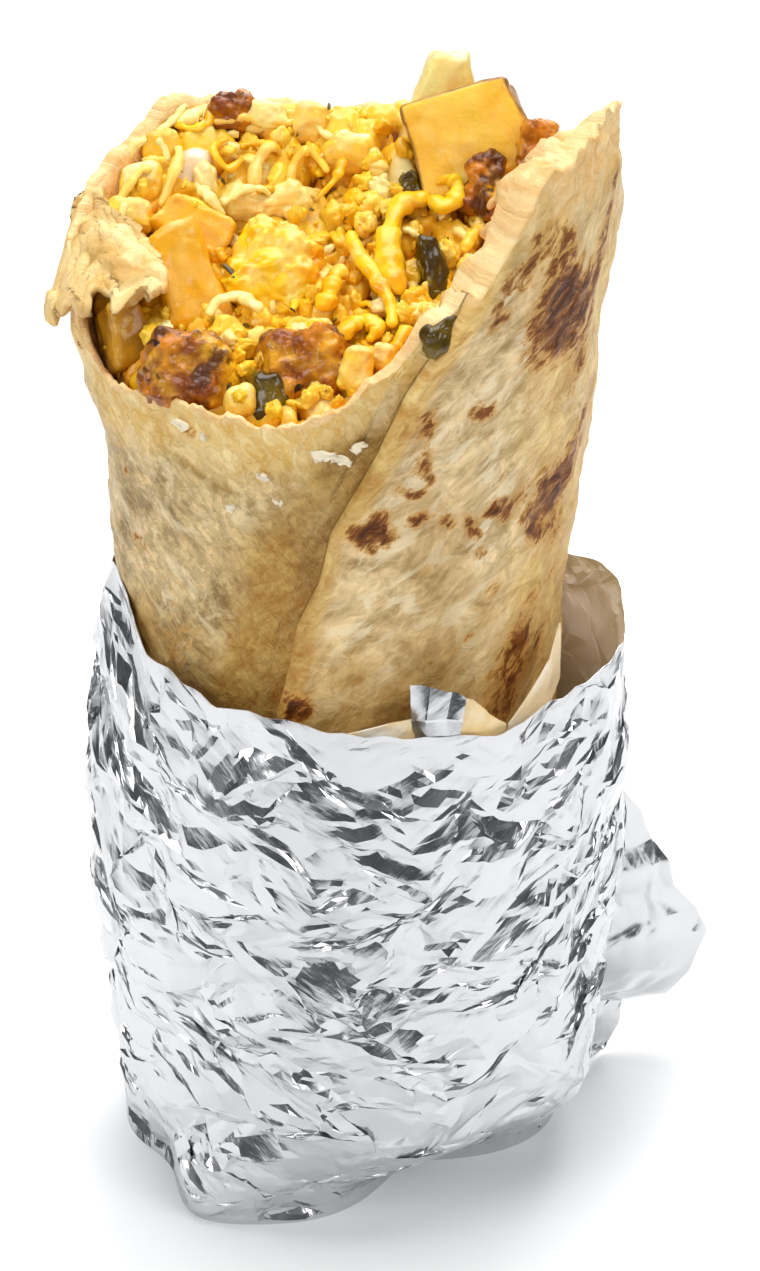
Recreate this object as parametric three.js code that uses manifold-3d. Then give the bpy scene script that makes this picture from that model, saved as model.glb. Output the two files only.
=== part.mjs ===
// A bitten breakfast burrito that stands in its crumpled foil wrap: a rolled tortilla, open at the top,
// round a filling of scrambled egg and melted cheese with potato, browned crisp pieces, onion and pepper.
// Millimetres, +Z up. The origin is on the table, under the middle of the roll, and -Y is the front, where
// the tortilla's free edge runs down. Angles are in degrees round the roll from +X, anticlockwise from above.
import * as THREE from "three";
import { RoundedBoxGeometry } from "three/addons/geometries/RoundedBoxGeometry.js";
import { mergeVertices } from "three/addons/utils/BufferGeometryUtils.js";
import Module from "manifold-3d";

const wasm = await Module();
wasm.setup();

// ---- Driving dimensions ----
const ROLL_DEPTH_SHARE = 0.9; // the roll is a little flattened, front to back
const ROLL_HALF_WIDTH = [
  [9, 22], [14, 28.5], [24, 31], [60, 31.8], [90, 32.2], [100, 32.6], [108, 33.4], [116, 34.1], [126, 34.7],
  [137, 35.4], [147, 36], [157, 37.5], [163, 38.2], [180, 38.7],
];
const ROLL_MIDDLE_X = [[60, -0.6], [105, -1.1], [126, -0.6], [157, 0], [180, 0.2]];
const MOUTH_FLARE = { middle: -175, width: 32, low: 1.8, high: 1.6 }; // the left of the mouth is pushed out
const TORTILLA_THICKNESS = 1.9; // one layer
const WRAP_FLOOR = 9; // folded foil under the roll
const RIM_HEIGHT = [
  [-165, 143], [-155, 141], [-140, 141.8], [-125, 142], [-110, 141.3], [-101, 142], [-93, 144.2],
  [-86, 147.2], [-78, 152], [-71, 157.5], [-66, 160], [-60, 163.5], [-55, 169], [-50, 173.5],
  [-44, 177.3], [-32, 179.4], [-12, 181.2], [-3, 178], [10, 170.5], [30, 165], [60, 163], [90, 163.5],
  [120, 166.5], [134, 169], [152, 163.5], [168, 158.5], [178, 154.5], [187, 150],
];
const SEAM_ANGLE = [
  [9, -124], [95, -105.5], [103, -102], [110, -100], [117, -95], [125, -92.5], [131, -87.5], [138, -82],
  [148, -75.5], [159, -65], [185, -48],
];
const SEAM_MIDDLE = -92; // the seam leans to both sides of this angle
const FOIL_HALF_WIDTH = [
  [0, 35.6], [7, 37.2], [18, 38.6], [30, 40.1], [42, 40.9], [52, 42], [68, 41.8], [79, 41], [90, 40.2],
  [100, 38.8], [108, 38.2],
];
const FOIL_MIDDLE_X = [
  [0, -0.8], [7, -0.2], [18, 1], [42, 1.1], [52, 0.7], [68, 1.4], [79, 2.1], [90, 2.6], [100, 3.2],
  [108, 3.6],
];
const FOIL_DEPTH_SHARE = [[0, 0.93], [60, 0.92], [85, 0.89], [108, 0.88]];
const FOIL_RIM_HEIGHT = [
  [-180, 104.5], [-167, 104.3], [-160, 103.5], [-154, 101], [-146, 99], [-133, 96.7], [-124, 95.5],
  [-107, 95.8], [-94, 94.6], [-81, 93.4], [-60, 92.2], [-44, 94], [-28, 93.7], [-8, 94], [0, 96], [9, 96.8],
  [20, 95.5], [36, 93], [90, 93], [150, 98],
];
const FOIL_WALL = 1.1; // crumpled layers taken together
const GAP = 0.35; // between pieces that touch

// ---- Small maths ----
const radians = THREE.MathUtils.degToRad;
const fract = (x) => x - Math.floor(x);
const hash = (i, j, k) => fract(Math.sin(i * 127.1 + j * 311.7 + k * 74.7) * 43758.5453);
const smooth = (t) => t * t * (3 - 2 * t);
const ramp = (a, b, x) => smooth(THREE.MathUtils.clamp((x - a) / (b - a), 0, 1));
const bump = (x, middle, width) => Math.exp(-(((x - middle) / width) ** 2));

// Straight interpolation through [x, value] pairs, held past both ends.
function along(pairs, x) {
  if (x <= pairs[0][0]) return pairs[0][1];
  for (let i = 1; i < pairs.length; i++) {
    const [x1, v1] = pairs[i];
    const [x0, v0] = pairs[i - 1];
    if (x <= x1) return v0 + ((v1 - v0) * (x - x0)) / (x1 - x0);
  }
  return pairs.at(-1)[1];
}

// The same round a full turn, for pairs of [angle, value] that start anywhere.
function around(pairs, angle) {
  const start = pairs[0][0];
  const turned = start + fract((angle - start) / 360) * 360;
  return along([...pairs, [start + 360, pairs[0][1]]], turned);
}

// The signed difference of two angles, between -180 and 180.
const turnBetween = (a, b) => fract((a - b) / 360 + 0.5) * 360 - 180;

// Smooth noise between -1 and 1 in space, from a hash of the corners of the unit cell.
function noise(x, y, z, seed) {
  const [i, j, k] = [x, y, z].map(Math.floor);
  const [u, v, w] = [x - i, y - j, z - k].map(smooth);
  let sum = 0;
  for (let c = 0; c < 8; c++) {
    const [a, b, d] = [c & 1, (c >> 1) & 1, c >> 2];
    const share = (a ? u : 1 - u) * (b ? v : 1 - v) * (d ? w : 1 - w);
    sum += share * hash(i + a + 57 * (k + d), j + b, seed + 3 * (k + d));
  }
  return 2 * sum - 1;
}

// The cubic curve through four points, which it meets at t = 0, 1/3, 2/3 and 1.
function cubicThrough(points, t) {
  const sum = new THREE.Vector3();
  points.forEach((point, i) => {
    const others = [0, 1, 2, 3].filter((j) => j !== i);
    sum.addScaledVector(point, others.reduce((weight, j) => (weight * (3 * t - j)) / (i - j), 1));
  });
  return sum;
}

// ---- Solids ----
function solidOf(points, triangles) {
  const vertProperties = new Float32Array(points.flatMap((p) => [p.x, p.y, p.z]));
  const triVerts = new Uint32Array(triangles.flat());
  return new wasm.Manifold(new wasm.Mesh({ numProp: 3, vertProperties, triVerts }));
}

// A closed solid through rings of points that each run anticlockwise, with a fan at both ends.
function ringSolid(rings) {
  const count = rings[0].length;
  const middle = (ring) => ring.reduce((sum, p) => sum.add(p), new THREE.Vector3()).divideScalar(count);
  const points = [...rings.flat(), middle(rings[0]), middle(rings.at(-1))];
  const first = rings.length * count;
  const triangles = [];
  for (let i = 0; i < count; i++) {
    const next = (i + 1) % count;
    triangles.push([first, next, i]);
    for (let j = 0; j + 1 < rings.length; j++) {
      const [a, b, c, d] = [j * count + i, j * count + next, (j + 1) * count + next, (j + 1) * count + i];
      triangles.push([a, b, c], [a, c, d]);
    }
    const last = (rings.length - 1) * count;
    triangles.push([first + 1, last + i, last + next]);
  }
  return solidOf(points, triangles);
}

// A sheet of even thickness round place(u, v), with u and v from 0 to 1. It faces along du x dv.
function sheetSolid(place, across, up, thickness) {
  const step = 0.01;
  const side = (u, v, sign) => {
    const du = place(u + step, v).sub(place(u - step, v));
    const dv = place(u, v + step).sub(place(u, v - step));
    return place(u, v).addScaledVector(du.cross(dv).normalize(), (sign * thickness) / 2);
  };
  const points = [];
  const triangles = [];
  const at = (i, j, back) => (back * (up + 1) + j) * (across + 1) + i;
  for (const back of [0, 1])
    for (let j = 0; j <= up; j++)
      for (let i = 0; i <= across; i++) points.push(side(i / across, j / up, back ? -1 : 1));
  const quad = (a, b, c, d) => triangles.push([a, b, c], [a, c, d]);
  for (let j = 0; j < up; j++)
    for (let i = 0; i < across; i++) {
      quad(at(i, j, 0), at(i + 1, j, 0), at(i + 1, j + 1, 0), at(i, j + 1, 0));
      quad(at(i, j, 1), at(i, j + 1, 1), at(i + 1, j + 1, 1), at(i + 1, j, 1));
    }
  for (let i = 0; i < across; i++) {
    quad(at(i, 0, 1), at(i + 1, 0, 1), at(i + 1, 0, 0), at(i, 0, 0));
    quad(at(i, up, 0), at(i + 1, up, 0), at(i + 1, up, 1), at(i, up, 1));
  }
  for (let j = 0; j < up; j++) {
    quad(at(0, j, 0), at(0, j + 1, 0), at(0, j + 1, 1), at(0, j, 1));
    quad(at(across, j, 1), at(across, j + 1, 1), at(across, j + 1, 0), at(across, j, 0));
  }
  return solidOf(points, triangles);
}

// The solid of a three.js geometry, with its shared vertices merged.
function solidOfGeometry(geometry) {
  geometry.deleteAttribute("normal");
  geometry.deleteAttribute("uv");
  const merged = mergeVertices(geometry, 1e-3);
  return new wasm.Manifold(
    new wasm.Mesh({
      numProp: 3,
      vertProperties: new Float32Array(merged.attributes.position.array),
      triVerts: new Uint32Array(merged.index.array),
    }),
  );
}

// The largest body of a solid: cutting can leave loose scraps.
function largest(solid) {
  return solid.decompose().reduce((best, body) => (body.volume() > best.volume() ? body : best));
}

const group = new THREE.Group();

function addNode(name, solid, colour, roughness = 0.6, metalness = 0) {
  const mesh = largest(solid).getMesh();
  const positions = new Float32Array(mesh.numVert * 3);
  for (let i = 0; i < mesh.numVert; i++)
    positions.set(mesh.vertProperties.subarray(i * mesh.numProp, i * mesh.numProp + 3), i * 3);
  const geometry = new THREE.BufferGeometry()
    .setAttribute("position", new THREE.BufferAttribute(positions, 3))
    .setIndex(new THREE.BufferAttribute(mesh.triVerts, 1));
  geometry.computeVertexNormals();
  const material = new THREE.MeshStandardMaterial({ color: colour, roughness, metalness });
  const node = new THREE.Mesh(geometry, material);
  node.name = name;
  group.add(node);
}

// ---- The roll's own surface ----
// Its outside without the free layer: a flattened circle that widens to the bitten mouth, with soft dents.
function rollPoint(angle, z, outward) {
  const a = radians(angle);
  const dent = 0.5 * noise(2.2 * Math.cos(a), 2.2 * Math.sin(a), z / 45, 5);
  const { middle, width, low, high } = MOUTH_FLARE;
  const flare = low * ramp(127, 136, z) + high * ramp(137, 145, z);
  const flareShare = bump(turnBetween(angle, middle), 0, width);
  const halfWidth = along(ROLL_HALF_WIDTH, z) + flare * flareShare + dent + outward;
  const x = along(ROLL_MIDDLE_X, z) + halfWidth * Math.cos(a);
  return new THREE.Vector3(x, ROLL_DEPTH_SHARE * halfWidth * Math.sin(a), z);
}

// All layers together: two at the front left, three where the roll ends under the free layer on the right.
const wallThickness = (angle) => 2.8 + 2.6 * bump(turnBetween(angle, -30), 0, 50);

// ---- Tortilla ----
// One spiral turn shows. It starts at the seam, a layer proud, and sinks to the surface it overlaps.
const TORTILLA_COLUMNS = 64;
const SEAM_STEP = 0.35; // of a column, between the free edge and the layer under it
const OUTER_ROWS = [0, 0.06, 0.2, 0.38, 0.5, 0.58, 0.66, 0.74, 0.81, 0.87, 0.92, 0.965, 1];
const INNER_ROWS = [1, 0.95, 0.88, 0.8, 0.65, 0.4, 0.08, 0];
const ROLL_BOTTOM = WRAP_FLOOR + GAP;
const TORTILLA_FLOOR = 4; // where the folded end of the roll closes it

// The torn rim, with the ragged edge of the bite.
function rimHeight(angle) {
  const a = radians(angle);
  return around(RIM_HEIGHT, angle) + 0.6 * noise(9 * Math.cos(a), 9 * Math.sin(a), 0, 11);
}

// The angle of a point that is a share of the turn round from the seam. Only columns near the seam lean.
function spiralAngle(share, z) {
  const lean = along(SEAM_ANGLE, z) - SEAM_MIDDLE;
  return SEAM_MIDDLE + 360 * share + lean * (0.5 + 0.5 * Math.cos(2 * Math.PI * share));
}

// The height at which a column meets the rim.
function columnTop(share) {
  let z = 150;
  for (let i = 0; i < 20; i++) z += (rimHeight(spiralAngle(share, z)) - z) / 2;
  return z;
}

function tortillaRing(rowShare, inside) {
  const bottom = ROLL_BOTTOM + (inside ? TORTILLA_FLOOR : 0);
  return Array.from({ length: TORTILLA_COLUMNS }, (_, i) => {
    const share = i / (TORTILLA_COLUMNS - 1 + SEAM_STEP);
    const top = columnTop(share) - (inside ? 0.8 : 0);
    const z = bottom + (top - bottom) * rowShare;
    const angle = spiralAngle(share, z);
    const worn = 1 - 0.3 * ramp(0.93, 1, rowShare);
    if (inside) return rollPoint(angle, z, -wallThickness(angle) * worn);
    return rollPoint(angle, z, TORTILLA_THICKNESS * (1 - share) - 0.6 * ramp(0.94, 1, rowShare));
  });
}

// A torn tongue of tortilla at the left of the mouth. Each row of points runs from its edge that hangs
// outside, over the rim, to its edge that lies over the filling; the rows go from the back to the front.
const TONGUE = [
  [[-39.7, 9, 158], [-38.6, 10.5, 159.2], [-37, 10.3, 158.8], [-35, 8.5, 157.2]],
  [[-40.9, 4.5, 152.2], [-38.8, 5, 155.4], [-35.3, 5, 156.4], [-29, 1.8, 155.2]],
  [[-43, -1, 148.2], [-39.8, -1, 152], [-34.5, -1.5, 154.2], [-25.8, -6.3, 153.4]],
  [[-42.9, -4, 145], [-39.5, -6, 149], [-34.5, -8.5, 151.2], [-27.5, -11, 152.2]],
];
const TONGUE_THICKNESS = 1.7;
function tonguePoint(u, v) {
  const ragged = v + 0.09 * noise(5 * u, 0, 0, 21) * ramp(0.5, 1, v);
  const rows = TONGUE.map((row) => cubicThrough(row.map((p) => new THREE.Vector3(...p)), u));
  return cubicThrough(rows, ragged).add(new THREE.Vector3(0, 0, 0.8 * noise(4 * u, 4 * v, 0, 22)));
}

// The room inside the roll that a filling can take, open upwards.
const ROOM_COLUMNS = 44;
const ROOM_HEIGHTS = [ROLL_BOTTOM + TORTILLA_FLOOR + GAP, 24, 60, 104, 118, 131, 143, 155, 167, 180, 215];
const room = ringSolid(
  ROOM_HEIGHTS.map((z) =>
    Array.from({ length: ROOM_COLUMNS }, (_, i) => {
      const angle = (360 * i) / ROOM_COLUMNS;
      return rollPoint(angle, z, -wallThickness(angle) - 2 * GAP);
    }),
  ),
);

const tortillaShell = ringSolid([
  ...OUTER_ROWS.map((share) => tortillaRing(share, false)),
  ...INNER_ROWS.map((share) => tortillaRing(share, true)),
]);
const tongue = sheetSolid(tonguePoint, 7, 7, TONGUE_THICKNESS);

// A green pepper strip caught between the free layer and the layer under it, at the mouth.
const seamPepper = { size: [6.5, 3.6, 3.4], at: [13.6, -30.2, 156.2], turn: [66, 22, 36], round: 0.2 };

// ---- Filling pieces ----
// The heap's own surface: low at the front, high at the back, with a rise at the back left.
function fillingHeight(x, y) {
  const rise = 6 * bump(Math.hypot(x + 30, y - 17), 0, 13) + 4 * ramp(14, 28, y);
  return 150 + 0.06 * x + 0.32 * y + rise;
}

// A cut piece: a box with rounded, uneven faces. Its space is the plain box round it, a gap larger.
function chunkSolid({ size, at, turn, round, narrow = 0.15 }, isSpace = false) {
  const seed = at[0];
  const least = Math.min(...size);
  const geometry = isSpace
    ? new THREE.BoxGeometry(...size.map((length) => length + 2 * GAP))
    : new RoundedBoxGeometry(...size, 1, round * least);
  const position = geometry.getAttribute("position");
  const p = new THREE.Vector3();
  for (let i = 0; i < position.count; i++) {
    p.fromBufferAttribute(position, i);
    const [u, v, w] = [p.x / size[0], p.y / size[1], p.z / size[2]];
    const lean = 0.2 * (hash(seed, 2, 0) - 0.5);
    const skew = 0.5 * (hash(seed, 3, 0) - 0.5);
    p.set(p.x * (1 - narrow * v) + lean * p.z, p.y * (1 + skew * u), p.z * (1 + 0.24 * v));
    const sunk = isSpace ? 0 : 0.05 * (1 + noise(2.5 * u + seed, 2.5 * v, 2.5 * w, seed));
    p.multiplyScalar(1 - sunk);
    position.setXYZ(i, p.x, p.y, p.z);
  }
  const turned = new THREE.Euler(...turn.map(radians), "XYZ");
  geometry.applyMatrix4(new THREE.Matrix4().makeRotationFromEuler(turned).setPosition(...at));
  return solidOfGeometry(geometry);
}

const PEPPER_COLOUR = 0x7c7a1e;
const KINDS = {
  potato: {
    colour: 0xf0b832,
    pieces: [
      { size: [10.5, 18, 7], at: [14.5, 27, 166], turn: [74, 0, -6], round: 0.14, narrow: 0.8 },
      { size: [18.5, 15.5, 11.5], at: [18.5, 22.5, 162.5], turn: [60, -6, 18], round: 0.09 },
      { size: [9, 16, 11], at: [-24, 1, 149], turn: [44, 12, 20], round: 0.1 },
      { size: [11.5, 6.5, 10], at: [-23, 9.5, 153.5], turn: [46, 6, -28], round: 0.1 },
      { size: [7, 6, 8], at: [-30.5, 15, 158.5], turn: [46, 0, 0], round: 0.16 },
      { size: [7.5, 5, 7], at: [-32, 10, 155.5], turn: [46, 0, -8], round: 0.18 },
      { size: [6, 5, 7], at: [-27.5, 20, 162], turn: [48, 0, 10], round: 0.2 },
      { size: [7, 4.5, 8], at: [-12.5, 27, 164], turn: [52, 0, 4], round: 0.14 },
      { size: [5, 6.5, 8], at: [-5.5, 26.5, 163.5], turn: [56, 0, -10], round: 0.16 },
      { size: [8.5, 6, 9], at: [0.5, 23, 159.5], turn: [46, 0, -6], round: 0.16 },
      { size: [6, 10, 9], at: [-32, -7.5, 144.5], turn: [50, 14, 14], round: 0.16 },
      { size: [5, 6.5, 7], at: [26.5, 15, 158], turn: [52, 0, 4], round: 0.18 },
      { size: [4.5, 6.5, 7], at: [1.5, -20, 145], turn: [50, 0, -12], round: 0.2 },
      { size: [3.5, 3.5, 5], at: [5.2, -18.5, 146.5], turn: [50, 0, -20], round: 0.2 },
      { size: [4.5, 4.5, 6], at: [-15, -22.8, 141.5], turn: [48, 0, 10], round: 0.2 },
    ],
  },
  browned: {
    colour: 0xb4641c,
    pieces: [
      { size: [12, 10.5, 11], at: [-22.5, -17.5, 143.5], turn: [48, 10, -8], round: 0.3 },
      { size: [11.5, 10.5, 11], at: [-4.5, -17, 144.5], turn: [48, -8, 10], round: 0.3 },
      { size: [6.5, 5.5, 6], at: [-17.5, 26, 165.5], turn: [54, 0, -8], round: 0.3 },
      { size: [5.5, 7.5, 6.5], at: [28, 17.5, 164], turn: [58, 0, 0], round: 0.3 },
      { size: [5.5, 9.5, 7], at: [20, 14.5, 158.5], turn: [54, -6, -14], round: 0.26 },
    ],
  },
  melted_cheese: {
    colour: 0xf6c236,
    pieces: [
      { size: [14.5, 14, 9], at: [-10.5, 1.5, 150.5], turn: [42, -4, -24], round: 0.26 },
      { size: [12.5, 4.5, 6], at: [-12, 14.5, 156], turn: [40, 0, 6], round: 0.36 },
    ],
  },
  onion: {
    colour: 0xf4e6b8,
    pieces: [{ size: [5.5, 9, 6], at: [-23.5, 17, 159.5], turn: [44, 0, -34], round: 0.26 }],
  },
  pepper: {
    colour: PEPPER_COLOUR,
    pieces: [
      { size: [5.5, 7, 5], at: [-10.5, -22, 142.5], turn: [48, 0, 10], round: 0.3 },
      { size: [3, 9, 5], at: [12.5, 0.5, 151.5], turn: [48, 0, 14], round: 0.3 },
      { size: [2.8, 5, 5], at: [9.5, 17, 157], turn: [50, 0, 14], round: 0.3 },
    ],
  },
};

// Each piece is fitted to the ones before it, to the tortilla's inside and to the torn tongue.
let taken = tongue;
for (const [kind, { colour, pieces }] of Object.entries(KINDS))
  pieces.forEach((piece, i) => {
    addNode(`${kind}_${i + 1}`, chunkSolid(piece).intersect(room).subtract(taken), colour, 0.45);
    taken = taken.add(chunkSolid(piece, true));
  });

// ---- Egg and cheese ----
// The heap fills the roll to its lumpy surface. Curds, crumbs and shreds that show are fused on.
const CORE_COLUMNS = 34;
const CORE_HEIGHTS = [ROLL_BOTTOM + TORTILLA_FLOOR + GAP, 60, 104, 126];
const CORE_SHARES = [1, 0.92, 0.76, 0.6, 0.42, 0.22]; // of the way out from the middle, on the lumpy surface
const CORE_CLEARANCE = 1.1; // to the tortilla's inside
const coreAngles = Array.from({ length: CORE_COLUMNS }, (_, i) => (360 * i) / CORE_COLUMNS);

function coreWall(angle, z) {
  return rollPoint(angle, z, -wallThickness(angle) - CORE_CLEARANCE);
}

function coreSurface(angle, share) {
  const a = radians(angle);
  const edge = coreWall(angle, fillingHeight(30 * Math.cos(a), 27 * Math.sin(a)));
  const [x, y] = [share * edge.x, share * edge.y];
  const lumps = 1.5 * noise(x / 5, y / 5, 0, 31) - 1.4 * ramp(0.9, 1, share) - 0.6;
  return new THREE.Vector3(x, y, fillingHeight(x, y) + lumps);
}

let heap = ringSolid([
  ...CORE_HEIGHTS.map((z) => coreAngles.map((angle) => coreWall(angle, z))),
  ...CORE_SHARES.map((share) => coreAngles.map((angle) => coreSurface(angle, share))),
]);

// A rounded lump of egg, from a few-sided ball that noise makes uneven.
function lumpSolid(at, radius, seed) {
  const geometry = new THREE.IcosahedronGeometry(1, 1);
  const position = geometry.getAttribute("position");
  const p = new THREE.Vector3();
  for (let i = 0; i < position.count; i++) {
    p.fromBufferAttribute(position, i);
    const reach = radius * (1 + 0.3 * noise(1.7 * p.x + seed, 1.7 * p.y, 1.7 * p.z, seed));
    position.setXYZ(i, at.x + p.x * reach * 1.15, at.y + p.y * reach, at.z + p.z * reach * 0.85);
  }
  return solidOfGeometry(geometry);
}

// A shred of cheese: a round-ended tube along a curve that lies on the heap.
const SHRED_SIDES = 5;
const SHRED_STEPS = 7;
const SHRED_RADIUS = 1.1;
const SHRED_ARCH = 1.4; // how far its middle stands off the heap
function shredSolid(at, heading, length, bend) {
  const rings = [];
  const path = (t) => {
    const turn = radians(heading + bend * (t - 0.5));
    const x = at.x + length * (t - 0.5) * Math.cos(turn);
    const y = at.y + length * (t - 0.5) * Math.sin(turn);
    return new THREE.Vector3(x, y, fillingHeight(x, y) + SHRED_RADIUS + SHRED_ARCH * Math.sin(Math.PI * t));
  };
  for (let j = 0; j <= SHRED_STEPS; j++) {
    const t = j / SHRED_STEPS;
    const forward = path(t + 0.01).sub(path(t - 0.01)).normalize();
    const sideways = new THREE.Vector3(0, 0, 1).cross(forward).normalize();
    const upwards = forward.clone().cross(sideways);
    const girth = SHRED_RADIUS * Math.sqrt(Math.max(0.12, 1 - (2 * t - 1) ** 6));
    rings.push(
      Array.from({ length: SHRED_SIDES }, (_, i) => {
        const turn = (2 * Math.PI * i) / SHRED_SIDES;
        return path(t)
          .addScaledVector(sideways, girth * Math.cos(turn))
          .addScaledVector(upwards, girth * Math.sin(turn));
      }),
    );
  }
  return ringSolid(rings);
}

// Curds and shreds are spread by the golden angle over the mouth, each with its own size from the hash.
const GOLDEN_ANGLE = 137.508;
const MOUTH_REACH = 27.5;
const onHeap = (i, count, lift) => {
  const reach = MOUTH_REACH * Math.sqrt((i + 0.5) / count);
  const turn = radians(GOLDEN_ANGLE * i + 20);
  const [x, y] = [reach * Math.cos(turn), reach * 0.92 * Math.sin(turn)];
  return new THREE.Vector3(x, y, fillingHeight(x, y) + lift);
};
const CURDS = 12;
const SHREDS = 6;
for (let i = 0; i < CURDS; i++) {
  const at = onHeap(i, CURDS, 0.4 + hash(i, 4, 0));
  heap = heap.add(lumpSolid(at, 2.4 + 1.5 * hash(i, 1, 9), i + 40));
}
for (let i = 0; i < SHREDS; i++) {
  const at = onHeap(2 * i + 1, 2 * SHREDS, 0);
  heap = heap.add(shredSolid(at, 360 * hash(i, 7, 1), 11 + 6 * hash(i, 8, 2), 70 * hash(i, 9, 3)));
}
addNode("egg_cheese_filling", heap.intersect(room).subtract(taken), 0xf2c84c, 0.5);

// ---- Tortilla and its caught pepper ----
const tortilla = tortillaShell.add(tongue).subtract(chunkSolid(seamPepper, true));
addNode("tortilla", tortilla, 0xe6cf9c, 0.75);
addNode("pepper_4", chunkSolid(seamPepper), PEPPER_COLOUR, 0.4);

// ---- Foil wrap ----
// A cup of crumpled foil, wider than the roll on the right. Its foot tucks in at the front right.
const FOIL_COLUMNS = 60;
const FOIL_ROWS = [0.035, 0.1, 0.17, 0.25, 0.33, 0.41, 0.49, 0.57, 0.65, 0.73, 0.81, 0.89, 0.955, 1];
const FOIL_INNER_ROWS = [1, 0.9, 0.76, 0.58, 0.36];
const FLOOR_ROW = 0.13; // where the folded floor inside meets the wall
const CRUMPLE_DEPTH = 2.6;
const CRUMPLE_MARGIN = 0.6; // the crests of the crumpling stand this far out of the named half width
// The foot is folded in at the front right and a little at the left, and pokes out between them.
const FOOT_FOLDS = [
  { middle: -57, width: 37, out: -17.5, height: 18 },
  { middle: -152, width: 15, out: -3.8, height: 24 },
  { middle: -127, width: 12, out: 2.6, height: 30 },
];
const TAB = { middle: -76, width: 6.5, height: 7, lean: 3 }; // a scrap of the rim that leans on the roll

// How far the folds of the foot move the wall out at an angle and a height.
function footFold(angle, z) {
  let sum = 0;
  for (const { middle, width, out, height } of FOOT_FOLDS)
    sum += out * bump(turnBetween(angle, middle), 0, width) * (1 - ramp(0, height, z));
  return sum;
}

function foilPoint(column, rowShare, inward) {
  const shake = rowShare > 0 && rowShare < 1 ? 1 : 0; // the rim and the base stay even
  const row = Math.round(rowShare * 97);
  const angle = (360 * (column + shake * 0.6 * (hash(column, row, 3) - 0.5))) / FOIL_COLUMNS;
  const a = radians(angle);
  const tab = bump(turnBetween(angle, TAB.middle), 0, TAB.width);
  const ragged = 0.8 * noise(7 * Math.cos(a), 7 * Math.sin(a), 0, 41);
  const rim = around(FOIL_RIM_HEIGHT, angle) + TAB.height * tab + ragged;
  const z = rim * (rowShare + shake * 0.03 * (hash(column, row, 6) - 0.5));
  const nearRim = ramp(rim - 10, rim, z);
  const dents = 1.2 * noise(1.8 * Math.cos(a), 1.8 * Math.sin(a), z / 26, 42);
  const crumple = dents - CRUMPLE_DEPTH * hash(column, row, 8);
  const halfWidth =
    along(FOIL_HALF_WIDTH, z) +
    CRUMPLE_MARGIN +
    crumple * ramp(0, 6, z) * (1 - 0.85 * nearRim) +
    footFold(angle, z) -
    TAB.lean * tab * nearRim -
    inward * (1 - 0.3 * nearRim);
  const x = along(FOIL_MIDDLE_X, z) + halfWidth * Math.cos(a);
  return new THREE.Vector3(x, along(FOIL_DEPTH_SHARE, z) * halfWidth * Math.sin(a), z);
}
const foilRing = (share, inward) =>
  Array.from({ length: FOIL_COLUMNS }, (_, i) => foilPoint(i, share, inward));
const cup = ringSolid([
  foilRing(0, 0),
  ...FOIL_ROWS.map((share) => foilRing(share, 0)),
  ...FOIL_INNER_ROWS.map((share) => foilRing(share, FOIL_WALL)),
  foilRing(FLOOR_ROW, FOIL_WALL).map((p) => p.setZ(WRAP_FLOOR)),
]);

// The loose end of the foil: a crumpled fan behind the cup, at the right, that reaches down to the table.
const FAN_EDGE = [
  [39, 10, 1.2], [43.5, 14.5, 1.2], [45.5, 17, 5], [46, 18, 9], [53, 18, 10], [57, 17.5, 15.5],
  [59.5, 17, 24], [57.5, 16, 28.5], [53.4, 16, 34], [52.5, 15.5, 39.5], [49.5, 15, 43.5], [47, 14, 50],
  [43.5, 13, 55],
].map((p) => new THREE.Vector3(...p));
const FAN_COLUMNS = 2 * (FAN_EDGE.length - 1);
const FAN_ROOT = [new THREE.Vector3(31, 10, 3), new THREE.Vector3(37, 11, 50)];
const FAN_THICKNESS = 1.3;
const fanEdge = new THREE.CatmullRomCurve3(FAN_EDGE, false, "catmullrom", 0.1);
function fanPoint(u, v) {
  const t = THREE.MathUtils.clamp(u, 0, 1);
  const point = FAN_ROOT[0].clone().lerp(FAN_ROOT[1], t).lerp(fanEdge.getPoint(t), v);
  const pleats = 2 * Math.sin(24 * u) * v * (1 - 0.6 * v);
  point.z += (u - t) * 60; // keeps its slope past both ends
  point.y += pleats + 1.4 * noise(8 * u, 4 * v, 0, 51) * (1 - v);
  return point;
}
const fan = sheetSolid(fanPoint, FAN_COLUMNS, 4, FAN_THICKNESS);
addNode("foil_wrap", cup.add(fan), 0xd8dadd, 0.25, 1);

export default group;
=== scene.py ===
# A bitten breakfast burrito that stands in the crumpled foil it was wrapped in. Sizes in each section are
# millimetres in the part's own frame, +Z up, and MM makes them metres. Angles run round the roll in degrees
# from +X, anticlockwise from above, and -Y is the front.
import bpy
import numpy as np
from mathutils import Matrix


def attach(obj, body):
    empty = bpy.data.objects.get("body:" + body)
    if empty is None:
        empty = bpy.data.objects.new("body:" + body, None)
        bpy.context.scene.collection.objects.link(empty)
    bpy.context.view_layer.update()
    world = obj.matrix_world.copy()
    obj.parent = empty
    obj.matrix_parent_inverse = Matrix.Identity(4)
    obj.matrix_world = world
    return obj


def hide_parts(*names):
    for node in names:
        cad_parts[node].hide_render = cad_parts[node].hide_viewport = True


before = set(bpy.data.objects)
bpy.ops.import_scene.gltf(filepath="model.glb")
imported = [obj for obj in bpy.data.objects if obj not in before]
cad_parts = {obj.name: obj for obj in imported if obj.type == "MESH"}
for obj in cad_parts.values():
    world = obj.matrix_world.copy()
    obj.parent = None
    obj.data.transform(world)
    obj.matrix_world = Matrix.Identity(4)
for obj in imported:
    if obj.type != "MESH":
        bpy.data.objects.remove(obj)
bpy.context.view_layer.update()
MM = 0.001

# ---- Table and studio light ----
# The burrito stands on a pale matt table under large soft lamps. The room beyond them is dim, which is what
# gives the foil its dark facets.


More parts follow.
